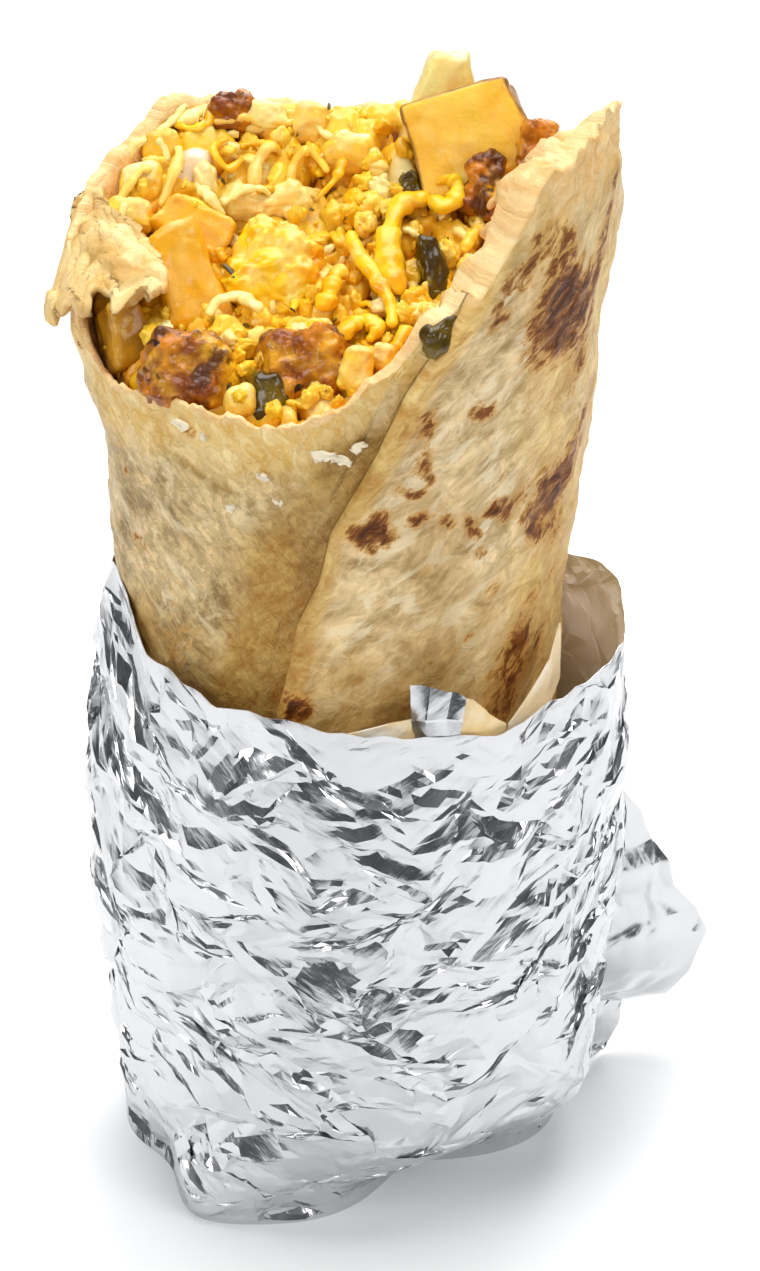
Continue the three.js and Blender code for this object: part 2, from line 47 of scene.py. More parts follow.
class Wire:
    """A node's output that takes part in sums: wire * 0.5 or 1 - wire adds the Math node for it."""

    def __init__(self, finish, socket):
        self.finish = finish
        self.socket = socket

    def sum(self, operation, *terms):
        """The Math node of that operation on numbers or other wires."""
        return self.finish.node("ShaderNodeMath", {"operation": operation}, dict(enumerate(terms)))

    def __add__(self, other):
        return self.sum("ADD", self, other)

    def __sub__(self, other):
        return self.sum("SUBTRACT", self, other)

    def __rsub__(self, other):
        return self.sum("SUBTRACT", other, self)

    def __mul__(self, other):
        return self.sum("MULTIPLY", self, other)

    def __pow__(self, other):
        return self.sum("POWER", self, other)

    __radd__ = __add__
    __rmul__ = __mul__


class Finish:
    """A material under way. node() adds any node from its type, its settings and its sockets' values."""

    def __init__(self, name, tree=None):
        self.material = None if tree else bpy.data.materials.new(name)
        if self.material:
            self.material.use_nodes = True
        self.tree = tree or self.material.node_tree
        self.tree.nodes.clear()

    def node(self, kind, settings=None, sockets=None, output=0):
        node = self.tree.nodes.new(kind)
        for key, value in (settings or {}).items():
            if key == "stops":
                ramp = node.color_ramp
                while len(ramp.elements) < len(value):
                    ramp.elements.new(0.5)
                for element, (place, colour) in zip(ramp.elements, value):
                    element.position = place
                    element.color = (*colour, 1)
            else:
                setattr(node, key, value)
        for key, value in (sockets or {}).items():
            if isinstance(value, Wire):
                self.tree.links.new(value.socket, node.inputs[key])
            else:
                node.inputs[key].default_value = value
        return Wire(self, node.outputs[output])

    def mottle(self, scale, detail=2.0, roughness=0.5):
        """Smooth noise from 0 to 1 on object coordinates; scale counts its lumps in a metre."""
        place = self.node("ShaderNodeTexCoord", output=3)
        sockets = {"Vector": place, "Scale": scale, "Detail": detail, "Roughness": roughness}
        return self.node("ShaderNodeTexNoise", {}, sockets)

    def streaked(self, flat, turn, long, wide, settings=None, shift=0, **noise):
        """Noise on flat, a sheet's own coordinates in mm, drawn out along a heading in degrees."""
        sockets = {"Vector": flat, "Location": (shift, 0, 0), "Rotation": (0, 0, np.radians(turn)),
                   "Scale": (long, wide, 1)}
        place = self.node("ShaderNodeMapping", {"vector_type": "TEXTURE"}, sockets)
        return self.node("ShaderNodeTexNoise", settings, {"Vector": place, "Scale": 1.0, **noise})

    def attribute(self, name):
        """The mesh's own value of that name at each point."""
        return self.node("ShaderNodeAttribute", {"attribute_name": name}, output=2)

    def step(self, wire, low, high, to_low=0.0, to_high=1.0):
        """to_low below low, to_high above high, and a smooth rise between them."""
        sockets = {0: wire, 1: low, 2: high, 3: to_low, 4: to_high}
        return self.node("ShaderNodeMapRange", {"interpolation_type": "SMOOTHSTEP"}, sockets)

    def blend(self, first, second, factor, how="MIX"):
        """The first colour where factor is 0 and the second where it is 1."""
        first, second = [c if isinstance(c, Wire) else (*c, 1) for c in (first, second)]
        settings = {"data_type": "RGBA", "blend_type": how}
        return self.node("ShaderNodeMix", settings, {0: factor, 6: first, 7: second}, output=2)

    def layers(self, colour, *coats):
        """The colour with each coat, a colour and its factor, blended over what came before."""
        for coat, factor in coats:
            colour = self.blend(colour, coat, factor)
        return colour

    def bump(self, height, depth_mm, strength=1.0):
        """Normals bent as by a relief that is depth_mm high where height is 1."""
        sockets = {"Height": height, "Distance": depth_mm * MM, "Strength": strength}
        return self.node("ShaderNodeBump", {}, sockets)

    def surface(self, **sockets):
        """Ends the material in a Principled BSDF with these sockets, an underscore standing for a space."""
        named = {key.replace("_", " "): value for key, value in sockets.items()}
        shader = self.node("ShaderNodeBsdfPrincipled", {"subsurface_method": "RANDOM_WALK"}, named)
        output = self.tree.nodes.new("ShaderNodeOutputMaterial")
        self.tree.links.new(shader.socket, output.inputs["Surface"])
        return self.material


def piece(name, points, faces, material, smooth=True, **attributes):
    """An object at the origin from an array of points in mm and faces as rows of point numbers.

    Each attribute is an array that fits the array of points, or spreads over it as numpy does."""
    mesh = bpy.data.meshes.new(name)
    mesh.from_pydata(points.reshape(-1, 3) * MM, [], faces)
    for key, values in attributes.items():
        column = mesh.attributes.new(key, "FLOAT", "POINT").data
        column.foreach_set("value", np.broadcast_to(values, points.shape[:-1]).ravel().astype(np.float32))
    mesh.materials.append(material)
    mesh.polygons.foreach_set("use_smooth", np.full(len(mesh.polygons), smooth))
    mesh.update()
    made = bpy.data.objects.new(name, mesh)
    bpy.context.scene.collection.objects.link(made)
    return made


TABLE_HALF = 1600
TABLE_FRONT = -1200  # the near edge; beyond it the foil mirrors the dim room
table_finish = Finish("table")
table_finish.surface(Base_Color=(0.96, 0.96, 0.96, 1), Roughness=0.7)
across, deep = np.array([-1, 1, 1, -1]) * TABLE_HALF, [TABLE_FRONT, TABLE_FRONT, TABLE_HALF, TABLE_HALF]
corners = np.stack([across, deep, np.zeros(4)], -1)
table = piece("table", corners, [(0, 1, 2, 3)], table_finish.material, smooth=False)

BURRITO_MIDDLE = (0, 0, 90)  # the lamps point at it
LAMPS = [  # name, place, side, power in watts and width of the beam in degrees
    ("overhead", (0, 200, 1000), 900, 4.0, 100),
    ("left panel", (-900, -520, 620), 560, 0.75, 70),
    ("right panel", (850, -640, 700), 560, 0.76, 70),
    ("back panel", (250, 950, 620), 700, 1.6, 90),
    ("front fill", (-250, -1400, 900), 800, 0.34, 60),
]
for name, place, side, power, beam in LAMPS:
    lamp = bpy.data.lights.new(name, "AREA")
    lamp.size = side * MM
    lamp.energy = power
    lamp.spread = np.radians(beam)
    holder = bpy.data.objects.new(name, lamp)
    holder.location = np.array(place) * MM
    x, y, z = np.array(BURRITO_MIDDLE) - np.array(place)
    holder.rotation_euler = (np.arctan2(np.hypot(x, y), -z), 0, np.arctan2(x, -y) + np.pi)
    bpy.context.scene.collection.objects.link(holder)

world = bpy.data.worlds.new("room")
bpy.context.scene.world = world
world.use_nodes = True
room = Finish("room", world.node_tree)
height = room.node("ShaderNodeSeparateXYZ", {}, {"Vector": room.node("ShaderNodeTexCoord")}, output=2)
strength = room.step(height, -0.1, 0.8, 0.06, 0.23)  # dark low down
light = room.node("ShaderNodeBackground", {}, {"Color": (0.88, 0.94, 1, 1), "Strength": strength})
output = world.node_tree.nodes.new("ShaderNodeOutputWorld")
world.node_tree.links.new(light.socket, output.inputs["Surface"])
bpy.context.scene.view_settings.view_transform = "Standard"

# The camera looks 30 degrees down at the burrito from 600 mm away.
CAMERA_DISTANCE = 600
CAMERA_ELEVATION = np.radians(30)
CAMERA_TARGET = (4.9, 0, 90.4)
SENSOR_HEIGHT, LENS = 36, 110.7
camera = bpy.data.objects.new("camera", bpy.data.cameras.new("camera"))
camera.data.sensor_fit = "VERTICAL"
camera.data.sensor_height = SENSOR_HEIGHT
camera.data.lens = LENS
offset = np.array([0, -np.cos(CAMERA_ELEVATION), np.sin(CAMERA_ELEVATION)])
camera.location = (np.array(CAMERA_TARGET) + CAMERA_DISTANCE * offset) * MM
camera.rotation_euler = (np.pi / 2 - CAMERA_ELEVATION, 0, 0)
bpy.context.scene.collection.objects.link(camera)
bpy.context.scene.camera = camera

# ---- Tortilla ----
# A large wheat tortilla rolled round the filling. Its free edge runs down the front; the mouth is bitten
# off, so the layers show torn and pale at the rim, and a torn tongue hangs over the left of the mouth.
# The skin is floury and mottled, with brown spots where its blisters touched the griddle.


def fract(x):
    """What is left of x over the whole number below it."""
    return x - np.floor(x)


def hashed(i, j, k):
    """A random number from 0 to 1 for each three whole numbers: the fraction of a large sine."""
    return fract(np.sin(i * 127.1 + j * 311.7 + k * 74.7) * 43758.5453)


def ramp(low, high, x):
    """0 below low, 1 above high, 3t^2 - 2t^3 between them."""
    t = np.clip((x - low) / (high - low), 0, 1)
    return t * t * (3 - 2 * t)


def bell(x, middle, width):
    """1 at the middle, falling off as exp(-t^2) with t counted in widths."""
    return np.exp(-(((x - middle) / width) ** 2))


def along(pairs, x):
    """Straight interpolation through [place, value] pairs."""
    return np.interp(x, *np.transpose(pairs))


def around(pairs, angle):
    """Straight interpolation through [angle, value] pairs that go round a full turn."""
    start = pairs[0][0]
    return along([*pairs, [start + 360, pairs[0][1]]], start + fract((angle - start) / 360) * 360)


def turn_between(a, b):
    """The turn from b to a in degrees, from -180 to 180."""
    return fract((a - b) / 360 + 0.5) * 360 - 180


def noise(x, y, z, seed):
    """Smooth noise from -1 to 1: the hashes at the unit cell's corners, weighted by 3t^2 - 2t^3."""
    x, y, z = np.broadcast_arrays(x, y, z)
    i, j, k = np.floor(x), np.floor(y), np.floor(z)
    u, v, w = ramp(0, 1, x - i), ramp(0, 1, y - j), ramp(0, 1, z - k)
    total = 0
    for corner in range(8):
        a, b, c = corner & 1, (corner >> 1) & 1, corner >> 2
        share = (u if a else 1 - u) * (v if b else 1 - v) * (w if c else 1 - w)
        total = total + share * hashed(i + a + 57 * (k + c), j + b, seed + 3 * (k + c))
    return 2 * total - 1


def rough(x, y, z, seed, octaves=3):
    """Noise with finer noise on it: each octave has half the size and half the height of the last."""
    return sum(noise(x * 2**o, y * 2**o, z * 2**o, seed + 17 * o) / 2**o for o in range(octaves))


def grain(place, size, seed, octaves=1):
    """rough() over places in mm, where size is the width of one lump, or its three widths along X, Y, Z."""
    x, y, z = np.moveaxis(place / np.asarray(size, float), -1, 0)
    return rough(x, y, z, seed, octaves)


def grid_faces(rows, columns, ring=False, first=0):
    """The quads of a grid of points; ring joins the last column to the first."""
    i, j = np.meshgrid(np.arange(rows - 1), np.arange(columns if ring else columns - 1), indexing="ij")
    right = (j + 1) % columns
    quads = [i * columns + j, i * columns + right, (i + 1) * columns + right, (i + 1) * columns + j]
    return np.stack(quads, -1).reshape(-1, 4) + first


ROLL_DEPTH_SHARE = 0.9  # of its width
ROLL_HALF_WIDTH = [  # height, then the value there
    [9, 22], [14, 28.5], [24, 31], [60, 31.8], [90, 32.2], [100, 32.6], [108, 33.4], [116, 34.1],
    [126, 34.7], [137, 35.4], [147, 36], [157, 37.5], [163, 38.2], [180, 38.7],
]
ROLL_MIDDLE_X = [[60, -0.6], [105, -1.1], [126, -0.6], [157, 0], [180, 0.2]]
SHEET = 1.9  # one layer of tortilla
ROLL_BOTTOM = 9.35
ROLL_FLOOR = 4
RIM_HEIGHT = [  # angle, height of the bite's edge
    [-165, 143], [-155, 141], [-140, 141.8], [-125, 142], [-110, 141.3], [-101, 142], [-93, 144.2],
    [-86, 147.2], [-78, 152], [-71, 157.5], [-66, 160], [-60, 163.5], [-55, 169], [-50, 173.5],
    [-44, 177.3], [-32, 179.4], [-12, 181.2], [-3, 178], [10, 170.5], [30, 165], [60, 163], [90, 163.5],
    [120, 166.5], [134, 169], [152, 163.5], [168, 158.5], [178, 154.5], [187, 150],
]
SEAM_ANGLE = [  # height, angle of the free edge
    [9, -124], [95, -105.5], [103, -102], [110, -100], [117, -95], [125, -92.5], [131, -87.5], [138, -82],
    [148, -75.5], [159, -65], [185, -48],
]
SEAM_MIDDLE = -92


def roll_point(angle, z, outward):
    """A point of the roll: a flattened circle whose half width follows the height, with soft dents."""
    a = np.radians(angle)
    dent = 0.5 * noise(2.2 * np.cos(a), 2.2 * np.sin(a), z / 45, 5)
    flare = (1.8 * ramp(127, 136, z) + 1.6 * ramp(137, 145, z)) * bell(turn_between(angle, -175), 0, 32)
    half = along(ROLL_HALF_WIDTH, z) + flare + dent + outward
    x = along(ROLL_MIDDLE_X, z) + half * np.cos(a)
    return np.stack([x, ROLL_DEPTH_SHARE * half * np.sin(a), z + 0 * x], -1)


def wall_thickness(angle):
    """All the layers together: 2.8 mm, and a bell of 2.6 mm more at the thick right side."""
    return 2.8 + 2.6 * bell(turn_between(angle, -30), 0, 50)


def spiral_angle(share, z):
    """The angle at a share of the sheet's way round.

    It leans as the free edge does, times half of one plus the cosine of the way round: not at all behind."""
    lean = along(SEAM_ANGLE, z) - SEAM_MIDDLE
    return SEAM_MIDDLE + 360 * share + lean * (0.5 + 0.5 * np.cos(2 * np.pi * share))


def rim_height(angle):
    """The torn rim: the bite's outline, with rounded scallops where the thick right side was torn."""
    a = np.radians(angle)
    x, y = np.cos(a), np.sin(a)
    bite = around(RIM_HEIGHT, angle) + 0.6 * noise(9 * x, 9 * y, 0, 11)
    torn = bell(turn_between(angle, -35), 0, 45)
    return bite + (0.5 + 0.7 * torn) * noise(22 * x, 22 * y, 0, 12) + 0.35 * noise(60 * x, 60 * y, 0, 13)


def column_top(share):
    """The height where each column meets the rim, found by halving the distance to it again and again."""
    z = np.full_like(share, 150.0)
    for _ in range(24):
        z += (rim_height(spiral_angle(share, z)) - z) / 2
    return z


# Spots: angle and height of the middle, half width and half height, lean to the right in degrees, darkness.
TOAST_SPOTS = [
    (-58, 143.2, 1.2, 1.3, 0, 0.8), (-71.7, 144.6, 1.0, 1.1, 0, 0.55), (-71.5, 142.2, 1.0, 1.2, 0, 0.8),
    (-72.1, 137.9, 0.8, 1.8, 10, 0.6), (-72, 135.5, 0.6, 1.4, -10, 0.6), (-77, 132.8, 0.7, 0.5, 30, 0.6),
    (-74.3, 132.1, 0.9, 0.5, 20, 0.7), (-81.4, 128.4, 1.0, 1.2, 20, 0.75), (-81.7, 126.4, 1.4, 1.4, 0, 1),
    (-80, 125.6, 1.2, 1.2, 40, 0.9), (-85.3, 125.5, 1.7, 0.8, 20, 1), (-83.5, 125.2, 1.5, 1.0, 0, 0.9),
    (-71.6, 127.5, 1.2, 0.9, 0, 0.8), (-65.9, 126.2, 1.3, 0.7, 20, 0.8),
    (-58.5, 124.3, 2.3, 0.6, 75, 0.85), (-51.3, 125.8, 1.9, 1.3, 40, 0.8),
    (-57.3, 119.7, 0.8, 0.7, 0, 0.35), (-71.1, 117.9, 1.2, 1.2, 0, 0.2),
    (-62.2, 103.8, 0.7, 0.7, 0, 0.35), (-57.9, 105.4, 0.6, 0.6, 0, 0.6),
    (-57.8, 157.9, 0.6, 1.6, 15, 0.75), (-55.8, 157.9, 0.6, 1.0, 15, 0.6),
    (-56, 162.3, 0.7, 1.1, 0, 0.75), (-47.7, 169.3, 0.9, 3.2, 28, 0.6), (-43.3, 168.6, 0.8, 2.2, 30, 0.6),
    (-41.5, 171.2, 0.6, 1.8, 35, 0.75), (-50, 165.6, 1.5, 3.6, 25, 0.6), (-40, 157.5, 3.6, 5.6, 10, 1),
    (-38, 151.5, 4.2, 3.0, 35, 0.95), (-33, 154.5, 2.6, 6.4, 20, 0.85),
    (-41.5, 163.5, 2.0, 4.4, 15, 0.65), (-44.5, 152.5, 2.4, 5.6, -10, 0.5),
    (-27.5, 147.5, 1.8, 6.5, 10, 0.55), (-24, 158, 1.0, 8.5, 8, 0.7), (-21, 167, 0.9, 6.0, 12, 0.65),
    (-23, 173.5, 0.8, 3.0, 10, 0.5), (-33, 125.5, 3.4, 4.4, 15, 0.9), (-37.5, 121.3, 2.2, 3.6, -15, 0.85),
    (-27, 128.5, 2.0, 5.5, 20, 0.7), (-21.5, 132, 1.2, 6.0, 10, 0.5), (-30, 117.5, 1.7, 3.2, 10, 0.45),
    (-46, 127, 1.2, 2.6, 30, 0.4), (-41, 101.2, 2.4, 4.0, 20, 0.75), (-42.5, 96.5, 3.6, 3.4, 0, 0.68),
    (-44, 91.5, 3.4, 3.4, 0, 0.6), (-36, 105, 1.6, 4.2, 30, 0.5), (-31, 98, 1.6, 4.0, 10, 0.45),
    (-100.5, 95.8, 1.6, 2.2, 20, 0.85), (-128.5, 139.3, 0.9, 0.7, 0, 0.3), (-52, 112, 1.6, 2.6, 40, 0.25),
    (-25, 112, 1.2, 4.0, 10, 0.35),
]
MM_A_DEGREE = 0.58  # along the skin
SPOT_MARGIN = 0.4  # mm that each spot reaches further


def on_turned_axes(u, v, turn):
    """u and v counted along axes that are turned by so many degrees."""
    c, s = np.cos(np.radians(turn)), np.sin(np.radians(turn))
    return u * c + v * s, v * c - u * s


def toasting(angle, place):
    """Darkness of the griddle marks.

    Each spot is an ellipse with its outline shifted by noise; the back has patches and freckles of noise."""
    shift_u, shift_v = 0.8 * grain(place, 3.6, 61, 2), 0.8 * grain(place, 3.6, 62, 2)
    total = np.zeros_like(angle)
    for middle, height, half_u, half_v, lean, dark in TOAST_SPOTS:
        u = turn_between(angle, middle) * MM_A_DEGREE + shift_u
        v = place[..., 2] - height + shift_v
        across, upward = on_turned_axes(u, v, -lean)
        reach = np.hypot(across / (half_u + SPOT_MARGIN), upward / (half_v + SPOT_MARGIN))
        total = np.maximum(total, dark * ramp(1.85, 0.3, reach))
    behind = ramp(40, 100, np.abs(turn_between(angle, -75)))
    patches = ramp(0.28, 0.85, grain(place, (11, 11, 15), 64, 3)) * 0.8
    freckles = ramp(0.5, 0.85, grain(place, 3.4, 65)) * 0.6
    return np.clip(np.maximum(total, behind * np.maximum(patches, freckles)), 0, 1.2)


# The columns of points lie closer at the front, where five of them make the free edge round. Share counts
# from 0 at the free edge to 1 after a full turn, where the sheet has sunk by its own thickness.
TORTILLA_COLUMNS = 372
EDGE_SHARES = np.array([0, 0.00012, 0.0006, 0.0018, 0.004])
EDGE_RISES = np.array([0.02, 0.55, 0.84, 0.96, 1.0])
outer_rows = np.concatenate([np.linspace(0, 0.4, 14), np.linspace(0.4, 1, 186)[1:]])
inner_rows = np.concatenate([np.linspace(1, 0.76, 34), [0.6, 0.4, 0.08, 0]])
rim_steps = np.linspace(0, 1, 11)[1:-1]
even = np.linspace(0, 1, TORTILLA_COLUMNS - len(EDGE_SHARES) + 1)
FRONT_CROWDING = 0.42
LAST_SHARE = 0.9992  # just short of the free edge
closer = (even - FRONT_CROWDING / (2 * np.pi) * np.sin(2 * np.pi * even))[1:]
share = np.concatenate([EDGE_SHARES, EDGE_SHARES[-1] + (1 - EDGE_SHARES[-1]) * closer])
share[-1] = LAST_SHARE
rise = np.concatenate([EDGE_RISES, np.ones(TORTILLA_COLUMNS - len(EDGE_RISES))])
top = column_top(share)
top[: len(EDGE_SHARES)] = top[-1] = top[0]

z_outer = ROLL_BOTTOM + (top - ROLL_BOTTOM) * outer_rows[:, None]
angle_outer = spiral_angle(share, z_outer)
base = roll_point(angle_outer, z_outer, 0)
bx, by = base[..., 0], base[..., 1]
under = ramp(0.5, 0.9, share) + 0 * z_outer  # the layer that the free edge lies on
below_rim = top - z_outer
creases = 1 - 2 * np.abs(noise((bx + z_outer) / 7, by / 9, (z_outer - bx) / 16, 71))
wrinkles = 1 - 2 * np.abs(noise((bx - 0.5 * z_outer) / 3.2, by / 4, (z_outer + bx) / 12, 77))
blisters = ramp(0.35, 0.75, grain(base, 3.4, 68))
relief = 0.42 * grain(base, 9, 70, 3) + 0.16 * creases + 0.07 * wrinkles + 0.22 * blisters
relief += 0.14 * grain(base, 1.9, 72, 2)
# The outer layer is torn lower than the inner ones on the thick right side.
torn_side = ramp(-58, -36, turn_between(angle_outer, 0)) * ramp(26, 6, turn_between(angle_outer, 0))
ragged = (1.1 + 0.8 * torn_side) * grain(base, 2.9, 67, 3)
inside_out = ramp(0.8 + 8.2 * torn_side, 0.2 + 5.4 * torn_side, below_rim + ragged)
lip = bell(share, 0.012, 0.014) * ramp(118, 104, z_outer)  # the free edge is folded over itself low down
pillow = bell(share, 0.02, 0.03) * ramp(150, 120, z_outer) * (0.5 + 0.5 * noise(0, 0, z_outer / 9, 78))
near_rim = ramp(0.94, 1, outer_rows)[:, None]
groove = np.maximum(ramp(0.988, 0.998, share), 1 - rise)
bead = bell(share, 0.006, 0.006)  # the cut edge is a little thicker than the sheet
proud = (SHEET * (1 - share) + 0.8 * lip + 0.5 * pillow + 0.4 * bead) * rise
proud = proud + relief - 0.6 * near_rim - 0.3 * groove
shredded = 0.55 - 0.7 * grain(base, (1.7, 1.7, 2.6), 63, 2)
outer = roll_point(angle_outer, z_outer, proud - shredded * inside_out * torn_side)
toast = toasting(angle_outer, base) * ramp(0.3, 1.6, below_rim) * (1 - inside_out * torn_side)

rim_angle = spiral_angle(share, top)
torn = bell(turn_between(rim_angle, -42), 0, 34)
# The torn face leans down into the mouth, furthest at the right.
inner_top = top - 0.8 - 4.4 * bell(turn_between(rim_angle, -8), 0, 18) - 1.6 * torn
z_inner = ROLL_BOTTOM + ROLL_FLOOR + (inner_top - ROLL_BOTTOM - ROLL_FLOOR) * inner_rows[:, None]
angle_inner = spiral_angle(share, z_inner)
thin = bell(turn_between(angle_inner, -140), 0, 50)
worn = 1 - (0.2 + 0.35 * thin) * ramp(0.93, 1, inner_rows)[:, None]
ruffle = grain(outer[-1], (2.6, 2.6, 3.5), 73)
fringe = grain(outer[-1], (1.1, 1.1, 1.4), 79)
torn_in = (1.4 + 2.8 * ramp(-0.5, 0.6, ruffle) + 0.9 * fringe) * torn * ramp(0.955, 1, inner_rows)[:, None]
rough_inside = 0.25 * rough(bx[-1] / 4, by[-1] / 4, z_inner / 4, 74)
inner = roll_point(angle_inner, z_inner, rough_inside - wall_thickness(angle_inner) * worn - torn_in)

# The torn face itself: half a wave high between its two edges, with three layers and noise on it.
rim = outer[-1] + (inner[0] - outer[-1]) * rim_steps[:, None, None]
wave = np.sin(np.pi * rim_steps[:, None])
layers = 0.3 * np.cos(2 * np.pi * 3 * rim_steps[:, None]) * torn + 0.5 * grain(rim, (1.6, 1.6, np.inf), 75)
layers = layers + 0.9 * torn * grain(rim, (3, 3, np.inf), 69, 3)
rim[..., 2] += (0.5 + 0.9 * torn) * wave + layers * wave**0.5

shell = np.concatenate([outer, rim, inner])
rows = len(shell)
shell_ends = np.stack([outer[0].mean(0), inner[-1].mean(0)])


def closing_fans(rows, columns, first=0):
    """Triangles from two added points to the first and the last ring of a grid that goes round."""
    ring = np.arange(columns)
    after = (ring + 1) % columns
    last, below = first + rows * columns, first + (rows - 1) * columns
    start = np.stack([np.full_like(ring, last), first + after, first + ring], -1)
    return [*start, *np.stack([np.full_like(ring, last + 1), below + ring, below + after], -1)]


shell_faces = [*grid_faces(rows, TORTILLA_COLUMNS, ring=True), *closing_fans(rows, TORTILLA_COLUMNS)]


def shell_values(on_outer, on_rim=0, on_inner=0):
    """One value for each point of the shell, in its order, and 0 for its two ends."""
    parts = [np.broadcast_to(value, part.shape[:2]).ravel()
             for value, part in ((on_outer, outer), (on_rim, rim), (on_inner, inner))]
    return np.concatenate([*parts, [0, 0]])


# The skin is golden low down, along the free edge, on the griddle side at the right and by the mouth.
patchy = 0.5 + 0.5 * grain(base, (13, 13, 17), 76, 3)
right_side = ramp(-58, -34, turn_between(angle_outer, 0)) * ramp(20, -10, turn_between(angle_outer, 0))
low_down = ramp(116, 95, z_outer)
seam_far = turn_between(angle_outer, along(SEAM_ANGLE, z_outer))
by_seam = 1.8 * bell(seam_far, 1.6, 2.6) + 1.1 * bell(seam_far, -8, 10) * ramp(150, 118, z_outer)
golden = 0.95 * right_side + 0.5 * low_down + by_seam
# Painted shade: the skin is darkened left of the free edge and low down by the foil, with patches of real
# grease mixed in.
greasy = 1.8 * bell(seam_far, -6, 9) * ramp(155, 125, z_outer) + 0.62 * ramp(112, 92, z_outer)
greasy = greasy * (0.4 + 1.1 * patchy) + 0.45 * ramp(0.55, 0.8, patchy) * ramp(140, 128, z_outer)
greasy = np.clip(greasy, 0, 1)
golden = np.clip(golden * (0.3 + 1.2 * patchy) + 0.5 * (patchy - 0.6) + ramp(0.99, 0.9, rise), 0, 1)
by_mouth = ramp(15, 3, below_rim + 2 * grain(base, 4, 66)) * (0.3 + 0.7 * under)
tortilla_finish = Finish("baked tortilla")
t = tortilla_finish
sheet = t.node("ShaderNodeCombineXYZ", {}, {"X": t.attribute("arc"), "Y": t.attribute("height")})


def streaks(turn, long, wide, detail, shift, low=0.38, high=0.62):
    """Streaked noise on the sheet, spread over the full 0 to 1."""
    flat = {"noise_dimensions": "2D"}
    drawn_out = t.streaked(sheet, turn, long, wide, flat, shift,
                           Detail=detail, Roughness=0.66, Distortion=0.5)
    return t.step(drawn_out, low, high)


under_layer = t.attribute("under")
broad_right, broad_left = streaks(50, 11, 7.5, 4, 3), streaks(-36, 14, 8, 4, 31)
cloud = streaks(10, 4.2, 3.6, 5, 57)
fine_right, fine_left = streaks(58, 2.4, 1.3, 4, 7), streaks(-42, 3.2, 1.2, 4, 37)
flour_right, flour_left = streaks(40, 7, 4, 6, 19, 0.50, 0.62), streaks(-30, 8, 4, 6, 43, 0.51, 0.64)
grains = t.step(t.mottle(1500, 3, 0.6), 0.35, 0.65)
right = t.blend((0.41, 0.255, 0.085), (1.0, 0.76, 0.42), broad_right * 0.45 + cloud * 0.35 + fine_right * 0.2)
right = t.blend(right, (0.97, 0.84, 0.57), flour_right * 0.6)
left = t.blend((0.24, 0.14, 0.03), (0.92, 0.68, 0.34), broad_left * 0.45 + cloud * 0.25 + fine_left * 0.3)
left = t.blend(left, (0.93, 0.78, 0.48), flour_left * 0.6)
gold = t.blend((0.64, 0.32, 0.055), (1.0, 0.76, 0.31), broad_left * 0.3 + cloud * 0.35 + fine_right * 0.35)
mouth_gold = t.blend((0.86, 0.50, 0.11), (0.98, 0.77, 0.36), fine_left * 0.5 + broad_left * 0.5)
skin = t.layers(t.blend(right, left, under_layer), (gold, t.attribute("golden") * 0.9),
                (mouth_gold, t.attribute("by_mouth") * 0.9))
# The multiply darkens the skin with grease and with painted shade left of the free edge and low down.
skin = t.blend(skin, (0.66, 0.57, 0.40), t.attribute("greasy"), "MULTIPLY")
toasted = t.attribute("toast")
mark = toasted + (fine_right - 0.5) * 0.34 + (grains - 0.5) * 0.08 + (cloud - 0.5) * 0.30
marked = t.step(toasted, 0.02, 0.22)
crumb_colour = t.blend((0.99, 0.72, 0.36), (0.80, 0.42, 0.11), cloud * 0.45 * broad_right + fine_right * 0.40)
skin = t.layers(
    skin,
    ((0.66, 0.35, 0.08), t.step(mark, 0.12, 0.50) * marked * 0.9),
    ((0.24, 0.070, 0.006), t.step(mark, 0.36, 0.76) * marked),
    ((0.08, 0.022, 0.004), t.step(mark, 0.74, 1.06) * marked),
    (crumb_colour, t.attribute("inside")),
    ((0.97, 0.86, 0.66), t.attribute("peeled")),
)
uneven = cloud * 0.5 + fine_left * under_layer * 0.5 + broad_right * 0.4 + grains * 0.12
uneven = uneven + t.mottle(650, 3) * 0.4
t.surface(
    Base_Color=skin,
    Roughness=t.step(cloud, 0.0, 1.0, 0.36, 0.55),
    Subsurface_Weight=0.1,
    Subsurface_Radius=(1.0, 0.5, 0.25),
    Subsurface_Scale=1.4 * MM,
    Specular_IOR_Level=0.24,
    Normal=t.bump(uneven, 0.34, 0.9),
)
ROUND_THE_ROLL = 216  # mm
tortilla = piece(
    "tortilla_roll", np.concatenate([shell.reshape(-1, 3), shell_ends]), shell_faces,
    tortilla_finish.material,
    toast=shell_values(toast), under=shell_values(under), golden=shell_values(golden),
    greasy=shell_values(greasy), by_mouth=shell_values(by_mouth), inside=shell_values(inside_out, 1, 1),
    arc=shell_values(*3 * [share * ROUND_THE_ROLL]), height=np.append(shell[..., 2], [0, 0]),
)
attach(tortilla, "root")

# The torn tongue: a sheet through 16 points, from its edge outside over the rim to its edge on the filling.
TONGUE = np.array([
    [[-39.7, 9, 158], [-38.6, 10.5, 159.2], [-37, 10.3, 158.8], [-35, 8.5, 157.2]],
    [[-40.9, 4.5, 152.2], [-38.8, 5, 155.4], [-35.3, 5, 156.4], [-29, 1.8, 155.2]],
    [[-43, -1, 148.2], [-39.8, -1, 152], [-34.5, -1.5, 154.2], [-25.8, -6.3, 153.4]],
    [[-42.9, -4, 145], [-39.5, -6, 149], [-34.5, -8.5, 151.2], [-27.5, -11, 152.2]],
])
TONGUE_THICKNESS = 1.5
TONGUE_SIZE = 20  # each way


def cubic_weights(t):
    """The weights of four points for the cubic curve that meets them at 0, 1/3, 2/3 and 1."""
    weights = [np.prod([(3 * t - j) / (i - j) for j in range(4) if j != i], axis=0) for i in range(4)]
    return np.stack(weights, -1)


